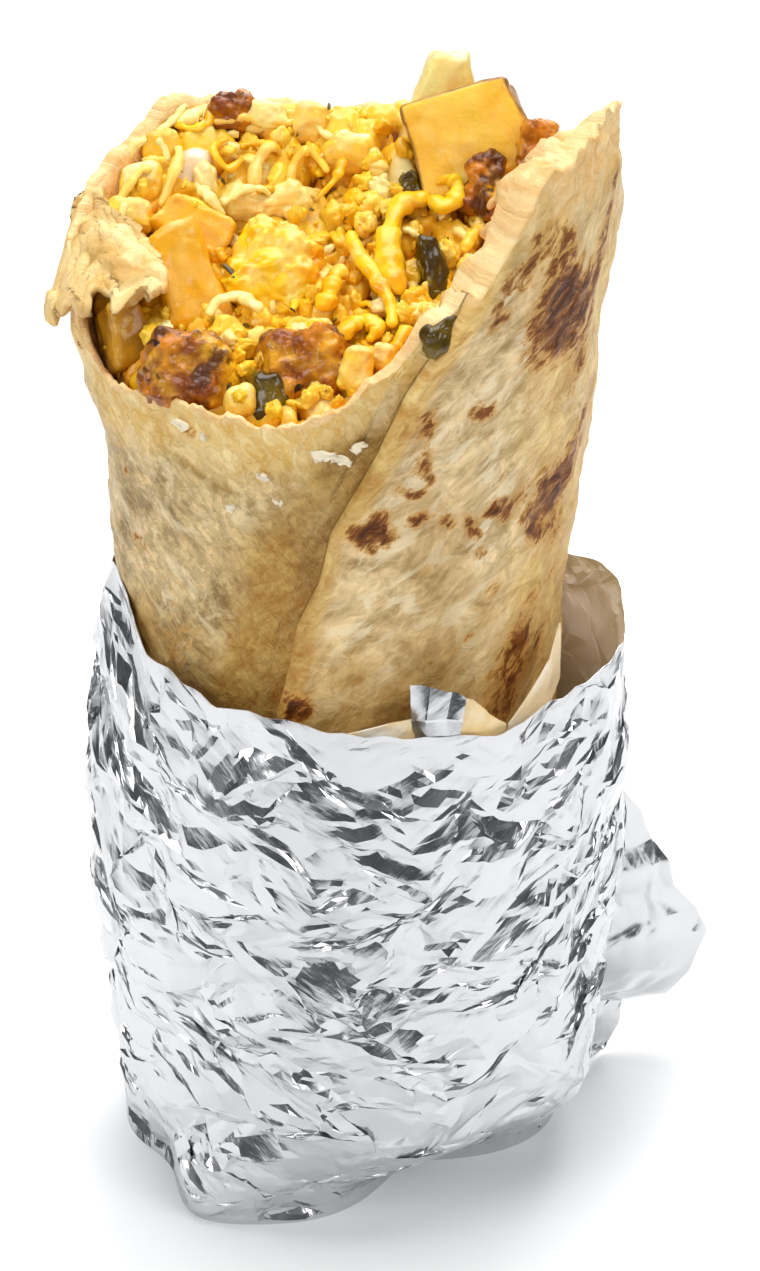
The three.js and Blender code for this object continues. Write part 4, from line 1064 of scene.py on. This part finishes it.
POTATOES = [  # size, place, turn, rounding, narrowing, lumps, tone, painted light on the top, faces with peel
    ((10.5, 18, 7), (14.5, 27, 166), (74, 0, -6), 0.2, 0.8, 0.1, 0.0, 0.9, ()),
    ((18.5, 15.5, 11.5), (18.5, 22.5, 162.5), (60, -6, 18), 0.09, 0.15, 0.0, 0.36, 0,
     ((1, 1), (0, 1), (0, -1))),
    ((9, 16, 11), (-24, 1, 149), (44, 12, 20), 0.16, 0.2, 0.35, 0.865, 0.15, ()),
    ((11.5, 6.5, 10), (-23, 9.5, 153.5), (46, 6, -28), 0.16, 0.2, 0.3, 0.77, 0.15, ()),
    ((7, 6, 8), (-30.5, 15, 158.5), (46, 0, 0), 0.36, 0.15, 0.3, 0.4, 1.0, ()),
    ((7.5, 5, 7), (-32, 10, 155.5), (46, 0, -8), 0.3, 0.15, 0.45, 0.5, 0.5, ()),
    ((6, 5, 7), (-27.5, 20, 162), (48, 0, 10), 0.36, 0.15, 0.5, 0.6, 0.2, ()),
    ((7, 4.5, 8), (-12.5, 27, 164), (52, 0, 4), 0.3, 0.15, 0.3, 0.1, 0.6, ((1, 1),)),
    ((5, 6.5, 8), (-5.5, 26.5, 163.5), (56, 0, -10), 0.34, 0.15, 0.35, 0.25, 0.8, ((0, 1),)),
    ((8.5, 6, 9), (0.5, 23, 159.5), (46, 0, -6), 0.38, 0.15, 0.35, 0.35, 1.0, ()),
    # Painted shade: this dice lies under the torn tongue and is toned near brown.
    ((6, 10, 9), (-32, -7.5, 144.5), (50, 14, 14), 0.2, 0.15, 0.1, 0.97, 0, ()),
    ((5, 6.5, 7), (26.5, 15, 158), (52, 0, 4), 0.26, 0.15, 0.1, 0.55, 0.5, ()),
    ((4.5, 6.5, 7), (1.5, -20, 145), (50, 0, -12), 0.28, 0.35, 0.45, 0.5, 0.4, ()),
    ((3.5, 3.5, 5), (5.2, -18.5, 146.5), (50, 0, -20), 0.3, 0.35, 0.4, 0.4, 0.5, ()),
    ((4.5, 4.5, 6), (-15, -22.8, 141.5), (48, 0, 10), 0.34, 0.15, 0.35, 0.3, 0.6, ()),
]
for number, (size, at, turn, round_share, narrow, lumpy, tone, top_light_amount, skin) in enumerate(POTATOES, 1):
    node = f"potato_{number}"
    dice = cut_piece(node + "_dice", size, at, turn, potato_finish.material, round_share, narrow, steps=30,
                     lumpy=lumpy, tone=tone, top_light_amount=top_light_amount, skin=skin)
    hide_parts(node)

# ---- Browned pieces ----
# Potato that stayed on the hot plate until it caught: orange brown and knobbly, glossy with fat, with black
# burnt spots.
browned_finish = Finish("browned crust")
b = browned_finish
crust = b.layers(
    b.blend((0.66, 0.215, 0.002), (0.25, 0.052, 0.001), b.step(b.mottle(210, 4, 0.6), 0.38, 0.60)),
    ((0.94, 0.48, 0.015), b.step(b.mottle(130, 3), 0.48, 0.64) * (1 - b.attribute("tone"))),
    ((0.09, 0.020, 0.001), b.step(b.mottle(170, 4, 0.6), 0.53, 0.64) * 0.9),
    ((0.02, 0.008, 0.003), b.step(b.mottle(330, 3, 0.6), 0.63, 0.70)),
)
moist(b, crust, b.step(b.mottle(300, 3), 0.35, 0.65, 0.22, 0.45), (0.05, (1.0, 0.35, 0.05), 1.0),
      (0.5, 0.05), b.bump(b.mottle(1100, 5, 0.65), 0.45, 0.9), level=0.2)
BROWNED = [  # size, place, turn, rounding, tone
    ((12, 10.5, 11), (-22.5, -17.5, 143.5), (48, 10, -8), 0.26, 0.25),
    ((11.5, 10.5, 11), (-4.5, -17, 144.5), (48, -8, 10), 0.26, 0.35),
    ((6.5, 5.5, 6), (-17.5, 26, 165.5), (54, 0, -8), 0.3, 0.9),
    ((5.5, 7.5, 6.5), (28, 17.5, 164), (58, 0, 0), 0.3, 0.5),
    ((5.5, 9.5, 7), (20, 14.5, 158.5), (54, -6, -14), 0.26, 0.0),
]
for number, (size, at, turn, round_share, tone) in enumerate(BROWNED, 1):
    node = f"browned_{number}"
    crisp = cut_piece(node + "_crisp", size, at, turn, browned_finish.material, round_share, steps=40,
                      relief=1.0, lumpy=0.7, tone=tone)
    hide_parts(node)

# ---- Onion and green pepper ----
# A soft translucent slice of onion, and strips of green pepper, one of them caught in the seam of the roll.
onion_finish = Finish("onion flesh")
o = onion_finish
onion_colour = o.blend((0.90, 0.72, 0.50), (0.88, 0.62, 0.34), o.step(o.mottle(150, 3), 0.4, 0.65))
moist(o, onion_colour, 0.25, (0.5, (1.0, 0.8, 0.5), 2.5), (0.3, 0.1), o.bump(o.mottle(500, 3), 0.15, 0.4),
      level=0.5)
onion = cut_piece("onion_slice", (5.5, 9, 6), (-23.5, 17, 159.5), (44, 0, -34), onion_finish.material,
                  0.44, 0.3)
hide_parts("onion_1")

pepper_finish = Finish("green pepper")
g = pepper_finish
green = g.blend((0.14, 0.09, 0.004), (0.055, 0.03, 0.002), g.step(g.mottle(230, 3), 0.40, 0.62))
green = g.blend(green, (0.36, 0.30, 0.04), g.step(g.mottle(500, 4), 0.60, 0.74) * 0.4)
moist(g, green, 0.22, (0.25, (0.7, 1.0, 0.15), 1.5), (0.45, 0.05), g.bump(g.mottle(800, 3), 0.2, 0.5))
PEPPERS = [  # size, place, turn, rounding
    ((5.5, 7, 5), (-10.5, -22, 142.5), (48, 0, 10), 0.42),
    ((3, 9, 5), (12.5, 0.5, 151.5), (48, 0, 14), 0.3),
    ((2.8, 5, 5), (9.5, 17, 157), (50, 0, 14), 0.3),
    ((6.5, 3.6, 3.4), (13.6, -30.2, 156.2), (66, 22, 36), 0.2),
]
SPECKS = 70
specks = lumps("herb_specks", on_heap(SPECKS, 49, reach=29, lift=1.5),
               0.16 + 0.2 * hashed(np.arange(SPECKS), 3, 3), (2.0, 1.0, 0.6), 46, 4, pepper_finish.material)
SPRIGS = [[(-33.1, -5.5, 148), (-31.5, -7, 148.2), (-30.5, -8, 147.3)],
          [(-18.2, 0.8, 152.4), (-16.8, -1, 152.2), (-15.7, -2.7, 150.9)]]
sprigs = strands("herb_sprigs", SPRIGS, [0.35, 0.4], pepper_finish.material, 14, 6)
for made in (specks, sprigs):
    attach(made, "root")
for number, (size, at, turn, round_share) in enumerate(PEPPERS, 1):
    node = f"pepper_{number}"
    strip = cut_piece(node + "_strip", size, at, turn, pepper_finish.material, round_share, 0.4, steps=26,
                      relief=0.7, lumpy=0.35)
    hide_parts(node)

# ---- Foil wrap ----
# Kitchen foil pressed round the roll and crushed at its foot, where it stands. A cup of it holds the roll,
# its rim is torn off unevenly, and a loose end fans out at the right of the back.
FOIL_HALF_WIDTH = [  # height, then the value there
    [0, 35.6], [7, 37.2], [18, 38.6], [30, 40.1], [42, 40.9], [52, 42], [68, 41.8], [79, 41], [90, 40.2],
    [100, 38.8], [108, 38.2],
]
FOIL_MIDDLE_X = [
    [0, -0.8], [7, -0.2], [18, 1], [42, 1.1], [52, 0.7], [68, 1.4], [79, 2.1], [90, 2.6], [100, 3.2],
    [108, 3.6],
]
FOIL_DEPTH_SHARE = [[0, 0.93], [60, 0.92], [85, 0.89], [108, 0.88]]
FOIL_RIM_HEIGHT = [  # angle, height of the torn rim
    [-180, 104.5], [-167, 104.3], [-160, 103.5], [-154, 101], [-146, 99], [-133, 96.7], [-124, 95.5],
    [-107, 95.8], [-94, 94.6], [-81, 93.4], [-60, 92.2], [-44, 94], [-28, 93.7], [-8, 94], [0, 96],
    [9, 96.8], [20, 95.5], [36, 93], [90, 93], [150, 98],
]
FOOT_FOLDS = [(-57, 37, -17.5, 18), (-152, 15, -3.8, 24), (-127, 12, 2.6, 30)]  # angle, width, out, height
WRAP_FLOOR = 9


def lattice(u, v, seed):
    """Flat triangles: random heights at the corners of unit squares, straight across each half square."""
    i, j = np.floor(u), np.floor(v)
    a, b = u - i, v - j
    flip = hashed(i, j, seed + 5) > 0.5
    a = np.where(flip, 1 - a, a)
    left, right = np.where(flip, i + 1, i), np.where(flip, i, i + 1)
    h00, h10 = hashed(left, j, seed), hashed(right, j, seed)
    h01, h11 = hashed(left, j + 1, seed), hashed(right, j + 1, seed)
    lower = h00 + a * (h10 - h00) + b * (h01 - h00)
    upper = h11 + (1 - a) * (h01 - h11) + (1 - b) * (h10 - h11)
    return 2 * np.where(a + b < 1, lower, upper) - 1


# Each octave of creases: size along and across in mm, turn in degrees, depth.
CREASES = [(34, 9.5, 30, 2.0), (20, 5.6, -14, 1.35), (12, 3.8, 44, 0.9), (7, 2.5, 14, 0.45)]


def crumple(u, v, seed):
    """Crushed foil: flat facets between sharp creases, each octave's lattice bent by a coarser one."""
    total = 0
    for k, (size_u, size_v, turn, depth) in enumerate(CREASES):
        p, q = on_turned_axes(u, v, turn)
        p, q = p / size_u, q / size_v
        bend = 0.4 * lattice(0.9 * p + 3.1, 0.9 * q, seed + 31 * k)
        sway = 0.4 * lattice(0.9 * p, 0.9 * q + 5.7, seed + 31 * k + 9)
        total = total + depth * lattice(p + bend, q + sway, seed + 31 * k + 17)
    return total


# The wrap is crushed like a real sheet: a net of large flat triangles, each cut in four again and again, the
# new corners pushed in or out. Every edge stays straight and sharp.
WRAP_LENGTH = 252  # mm round the wrap
WRAP_HEIGHT = 95  # mm up to the rim, about
ARC_AT_FRONT = -64  # mm; left of it the creases lean one way, right of it the other
random = np.random.default_rng(11)
BASE_COLUMNS, BASE_ROWS = 28, 16
COLUMN_WIDTH, ROW_SHARE = WRAP_LENGTH / BASE_COLUMNS, 1 / (BASE_ROWS - 1)
SHAKE = 0.42  # of a column or a row
DENTS = [(0.78, 1.4, 0.2), (0.42, 2.1, 0.16), (0.19, 2.6, 0.1)]  # depth in mm, how rare deep ones are, sway


def deep_or_flat(shape, rarity):
    """Random numbers from -1 to 1, mostly near 0: an even one to the power of rarity, with its sign."""
    even = random.uniform(-1, 1, shape)
    return np.sign(even) * np.abs(even) ** rarity


def halved(sheet, slant, depth, rarity, sway):
    """The (along, up, out) points and new ones halfway along each edge and diagonal, pushed about."""
    right = np.roll(sheet, -1, 1)
    right[:, -1, 0] += WRAP_LENGTH
    finer = np.empty((2 * len(sheet) - 1, 2 * sheet.shape[1], 3))
    finer[::2, ::2] = sheet
    finer[::2, 1::2] = (sheet + right) / 2
    finer[1::2, ::2] = (sheet[:-1] + sheet[1:]) / 2
    falling, rising = right[:-1] + sheet[1:], sheet[:-1] + right[1:]
    finer[1::2, 1::2] = np.where(slant[..., None], falling, rising) / 2
    step = np.array([WRAP_LENGTH / sheet.shape[1], 1 / (len(sheet) - 1)])
    push = deep_or_flat(finer.shape[:2], rarity) * depth
    move = random.uniform(-sway, sway, (*finer.shape[:2], 2)) * step
    push[::2, ::2], move[::2, ::2], move[[0, -1]] = 0, 0, 0
    return finer + np.concatenate([move, push[..., None]], -1)


columns, rows = np.meshgrid(np.arange(BASE_COLUMNS), np.arange(BASE_ROWS))
net = np.stack([columns * COLUMN_WIDTH, rows * ROW_SHARE, 0 * rows], -1).astype(float)
for axis, width in enumerate((COLUMN_WIDTH, ROW_SHARE)):
    net[1:-1, :, axis] += random.uniform(-SHAKE, SHAKE, (BASE_ROWS - 2, BASE_COLUMNS)) * width
net[..., 2] = deep_or_flat(rows.shape, 0.8) * 1.3
net[..., 0] -= 0.75 * WRAP_LENGTH  # the ring starts at the back, and the front is a quarter turn below 0
leaning_left = ramp(-52, -74, net[:-1, :, 0])
slant = random.uniform(0, 1, leaning_left.shape) < 0.28 + 0.44 * leaning_left
for dents in DENTS:
    net = halved(net, slant, *dents)
    slant = np.repeat(np.repeat(slant, 2, 0), 2, 1)

# Some facets lie flatter and lean back, so that they mirror the dim room.
SHARDS = [  # place round the wrap and height, half sizes, turn, slope
    (-66.5, 51, 4.8, 4.2, -20, 0.3375), (-59.1, 46.6, 4.2, 3.5, 20, 0.3375),
    (-56.5, 40.5, 3.7, 2.6, 30, 0.25), (-71.1, 44.6, 3.3, 1.7, -15, 0.25),
    (-63.3, 89.7, 4.4, 1.5, 12, 0.3375), (-70.3, 85.4, 2.6, 1.3, 30, 0.3375),
    (-78.6, 79.6, 3.2, 1.5, -10, 0.3375), (-83.6, 78.9, 3, 1, -25, 0.3375),
    (-63.4, 78.8, 3.8, 1.4, 10, 0.3375), (-58, 73.4, 4.8, 1.5, -15, 0.3375),
    (-85.8, 72.7, 4.9, 0.8, -6, 0.3375), (-52.1, 84.7, 2.2, 1.5, -20, 0.3375),
    (-36.3, 87, 5.9, 1.3, 60, 0.275), (-78.5, 17.4, 4, 2.2, 15, 0.3375), (-56.5, 20.7, 3, 1.3, 20, 0.25),
    (-72.6, 33.6, 2.7, 0.8, -5, 0.275), (-86.2, 58.6, 2.5, 1.4, -10, 0.3375),
    (-48.3, 57.8, 3, 1, 75, 0.3375), (-36.5, 57.7, 4.2, 1.6, -50, 0.3125),
    (-31.7, 42.9, 4.1, 1.4, -75, 0.275), (-64, 61.8, 1.8, 1, 0, 0.275),
    (-59.5, 58.2, 2.1, 1.3, -20, 0.275), (-42.3, 32.5, 4.7, 2, 10, 0.25),
    (-95.4, 71.9, 4.2, 1.4, -15, 0.275),
]
# A shard has its corners cut off. Its points keep a quarter of their dents and their mean level, and slope
# back from it with height.
for place, height, half_u, half_v, turn, slope in SHARDS:
    v = WRAP_HEIGHT * net[..., 1] - height
    p, q = np.abs(on_turned_axes(net[..., 0] - place, v, turn))
    p, q = p / half_u, q / half_v
    flat = ramp(1.35, 1.0, np.maximum(np.maximum(p, q), 0.7 * (p + q)))
    upright = (along(FOIL_HALF_WIDTH, height + 4) - along(FOIL_HALF_WIDTH, height - 4)) / 8
    level = np.sum(net[..., 2] * flat) / np.sum(flat)
    leaning = level - (slope + upright) * v + 0.25 * (net[..., 2] - level)
    net[..., 2] += flat * (leaning - net[..., 2])


def foil_point(along_wrap, share, crushed, inward):
    """The cup's wall at a share of its height: its half width there, the foot's folds and the dents.

    The dents fade out at the floor and halve at the rim, and stay shallow where linings are tucked in."""
    angle = along_wrap / WRAP_LENGTH * 360
    a = np.radians(angle)
    rim = around(FOIL_RIM_HEIGHT, angle) + 0.8 * noise(7 * np.cos(a), 7 * np.sin(a), 0, 41)
    rim = rim + 0.5 * lattice(angle / 4.3, 0 * angle, 43)
    z = rim * share
    near_rim = ramp(rim - 4, rim - 0.3, z)
    dents = 1.2 * noise(1.8 * np.cos(a), 1.8 * np.sin(a), z / 26, 42)
    foot = sum(out * bell(turn_between(angle, middle), 0, width) * (1 - ramp(0, height, z))
               for middle, width, out, height in FOOT_FOLDS)
    crushed = np.maximum(crushed, -3 + 2.5 * ramp(72, 86, z))
    shift = (dents + crushed - 1.0) * ramp(0, 2.5, z) * (1 - 0.55 * near_rim)
    half = along(FOIL_HALF_WIDTH, z) + 0.6 + shift + foot - inward
    x = along(FOIL_MIDDLE_X, z) + half * np.cos(a)
    return np.stack([x, along(FOIL_DEPTH_SHARE, z) * half * np.sin(a), z], -1)


# The cup: its outer wall, the same dents again on the way down inside, and two plain rings to the floor.
INSIDE_ROWS = 47
INSIDE_STEP = 3.6  # mm that the plain rings stand in
outer_wall = foil_point(*np.moveaxis(net, -1, 0), 0)
back_down = net[:-INSIDE_ROWS - 1:-1]
deep = ramp(1, 0.8, back_down[..., 1])
inner_wall = foil_point(back_down[..., 0], back_down[..., 1], back_down[..., 2] * (1 - 0.8 * deep),
                        0.12 + 2.6 * deep)
arc_below = back_down[-1:, :, 0]
low_wall = foil_point(arc_below, 0 * arc_below + 0.3, 0, INSIDE_STEP)
floor_ring = foil_point(arc_below, 0 * arc_below + 0.095, 0, INSIDE_STEP)
floor_ring[..., 2] = WRAP_FLOOR
cup = np.concatenate([outer_wall, inner_wall, low_wall, floor_ring])
foil_columns = cup.shape[1]
cuts = np.zeros((len(cup) - 1, foil_columns), bool)
cuts[: len(slant)] = slant
cuts[len(slant) + 1:len(slant) + INSIDE_ROWS] = ~slant[:-INSIDE_ROWS:-1]
quads = grid_faces(len(cup), foil_columns, ring=True)
falling, rising = quads[cuts.ravel()], quads[~cuts.ravel()]
halves = (falling[:, [0, 1, 3]], falling[:, [1, 2, 3]], rising[:, [0, 1, 2]], rising[:, [0, 2, 3]])
cup_faces = [*np.concatenate(halves), *closing_fans(len(cup), foil_columns)]

foil_finish = Finish("kitchen foil")
f = foil_finish
wrapped = f.node("ShaderNodeCombineXYZ", {}, {"X": f.attribute("arc"), "Y": f.attribute("height")})


def drawn(turn):
    """Soft streaks along the creases, from 0 to 1."""
    return f.streaked(wrapped, turn, 8, 2.4, Detail=3.0, Roughness=0.5)


side = f.step(f.attribute("arc"), ARC_AT_FRONT - 10, ARC_AT_FRONT + 12)
height = drawn(-34) * (1 - side) + drawn(38) * side
handled = f.attribute("inner")
stained = handled * f.step(f.mottle(130, 3), 0.28, 0.58) * f.attribute("greasy")
f.surface(
    Base_Color=f.blend(f.blend((0.615, 0.62, 0.63), (1.0, 0.98, 0.92), handled), (0.95, 0.70, 0.32), stained),
    Metallic=1 - handled * 0.9,
    Roughness=f.step(f.mottle(260, 3), 0.3, 0.7, 0.16, 0.24) + handled * 0.25,
    Normal=f.bump(height, 0.22),
)


SHARP_FROM = 9  # degrees between two facets


def foil_piece(name, points, faces, arc, up, inner, greasy=0.0):
    """A piece of foil with its place on the flat sheet in mm, its share of inside face and its grease."""
    made = piece(name, points, faces, foil_finish.material, arc=arc, height=up, inner=inner,
                 greasy=inner * greasy)
    made.data.set_sharp_from_angle(angle=np.radians(SHARP_FROM))
    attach(made, "root")
    return made


arc = np.concatenate([net[..., 0], back_down[..., 0], arc_below, arc_below])
inner = np.repeat(np.arange(len(cup)) >= len(net), foil_columns)
cup_piece = foil_piece(
    "foil_cup", np.concatenate([cup.reshape(-1, 3), [cup[0].mean(0), floor_ring[0].mean(0)]]), cup_faces,
    np.append(arc, [0, 0]), np.append(cup[..., 2], [0, 0]), np.append(inner, [1, 1]),
)
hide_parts("foil_wrap")

# A corner of the torn rim is turned back over itself, and the inside of the wrap shows beside it.
# Each flap is a sheet through the points of its lower edge, middle and upper edge, from left to right.
FLAPS = [  # name, width, 1 for an inside face, grease, points
    ("turned_corner", 12, 0, 1.0, (
        [[9.8, -32.8, 91.6], [12, -33, 91.6], [14.6, -32.8, 91.6], [16.4, -32.2, 91.6]],
        [[9.4, -34.2, 96.3], [11.4, -36.4, 97], [14.4, -34.6, 96.2], [16.9, -34.4, 96]],
        [[9.0, -33.4, 101.6], [11.8, -34.8, 101.8], [15.2, -33.2, 100.2], [17.3, -34.2, 99.8]],
    )),
    ("left_lining", 18, 1, 1.0, (
        [[-1, -32.6, 89.4], [3.4, -32.7, 89.4], [7, -32.8, 89.4], [10, -32.8, 89.4]],
        [[-0.6, -33, 91.2], [3.8, -33.2, 92], [7.4, -33.3, 92.2], [10, -33.3, 92.6]],
        [[-0.2, -33.6, 93.4], [4.2, -33.7, 94.5], [7.8, -33.8, 95.2], [10, -33.6, 95.8]],
    )),
    ("right_lining", 18, 1, 1.0, (
        [[15.2, -31.8, 88.6], [18, -31, 88.4], [20.6, -29.8, 88], [23.4, -28.2, 87]],
        [[15.6, -32.6, 93], [18.4, -32, 92.6], [20.8, -30.8, 91], [23.4, -28.9, 89.6]],
        [[16.2, -32.2, 98.9], [18.7, -31.6, 97.9], [21, -30.8, 94.8], [23.4, -29, 92.4]],
    )),
    ("right_inner_wall", 18, 1, 0.75, (
        [[22.6, -28.8, 84], [26.4, -26.2, 86], [29.4, -22.8, 90], [31.6, -18.6, 94]],
        [[23, -28.8, 88.6], [26.8, -26.2, 91.4], [29.8, -22.6, 94.6], [31.6, -18.4, 98]],
        [[23.7, -28.4, 92.2], [27.2, -25.8, 96.4], [30, -22.6, 99.6], [31.4, -18, 103]],
    )),
]


def spread(rows, u, v):
    """Straight interpolation through rows of points, along each row by u and from row to row by v."""
    rows = np.array(rows, float)
    up, across = v * (rows.shape[0] - 1), u * (rows.shape[1] - 1)
    i = np.clip(up.astype(int), 0, rows.shape[0] - 2)
    j = np.clip(across.astype(int), 0, rows.shape[1] - 2)
    a, b = (up - i)[..., None], (across - j)[..., None]
    low = rows[i, j] * (1 - b) + rows[i, j + 1] * b
    high = rows[i + 1, j] * (1 - b) + rows[i + 1, j + 1] * b
    return low * (1 - a) + high * a


FLAP_LENGTH, FLAP_THICKNESS = 9, 0.3
for number, (name, width, lining, grease, rows) in enumerate(FLAPS):

    def flap_point(u, v):
        """The spread of the flap's points, crumpled, its upper edge torn."""
        torn = v + 0.03 * lattice(5 * u, 0 * u, 77 + number) * ramp(0.7, 1, v)
        point = spread(rows, u, torn)
        point[..., 1] += 0.22 * crumple(14 * u + 40 * number, FLAP_LENGTH * v, 700) * v
        point[..., 0] += 0.12 * crumple(14 * u + 40 * number, FLAP_LENGTH * v, 750) * v
        return point

    points, faces, u, v = thin_sheet(flap_point, 60, 34, FLAP_THICKNESS)
    foil_piece(name, points, faces, width * u - 40, FLAP_LENGTH * v, lining, grease)

# The loose end of the sheet stands out at the back right in soft pleats with a jagged edge.
FAN_EDGE = np.array([  # the jagged edge from bottom to top
    [39, 10, 1.2], [43.5, 14.5, 1.2], [45.5, 17, 5], [46, 18, 9], [53, 18, 10], [57, 17.5, 15.5],
    [59.5, 17, 24], [57.5, 16, 28.5], [53.4, 16, 34], [52.5, 15.5, 39.5], [49.5, 15, 43.5], [47, 14, 50],
    [43.5, 13, 55],
])
FAN_ROOT = np.array([[31, 10, 3], [37, 11, 50]])
FAN_WIDTH, FAN_LENGTH, FAN_THICKNESS = 60, 26, 0.5


def fan_point(u, v):
    """A sheet from the root line on the cup to the jagged edge, pleated along v and crumpled."""
    t = np.clip(u, 0, 1)
    place = t * (len(FAN_EDGE) - 1)
    tip = np.stack([np.interp(place, np.arange(len(FAN_EDGE)), FAN_EDGE[:, k]) for k in range(3)], -1)
    root = FAN_ROOT[0] + (FAN_ROOT[1] - FAN_ROOT[0]) * t[..., None]
    point = root + (tip - root) * v[..., None]
    point[..., 2] += (u - t) * FAN_WIDTH
    point[..., 1] += 1.2 * np.sin(24 * u) * v * (1 - 0.6 * v) + 1.4 * noise(8 * u, 4 * v, 0, 51) * (1 - v)
    point[..., 1] += 0.45 * crumple(FAN_WIDTH * u, FAN_LENGTH * v, 900)
    point[..., 0] += 0.3 * crumple(FAN_WIDTH * u, FAN_LENGTH * v, 950) * v
    return point


points, faces, u, v = thin_sheet(fan_point, 150, 70, FAN_THICKNESS)
foil_piece("foil_fan", points, faces, FAN_WIDTH * u - 30, FAN_LENGTH * v, 0)
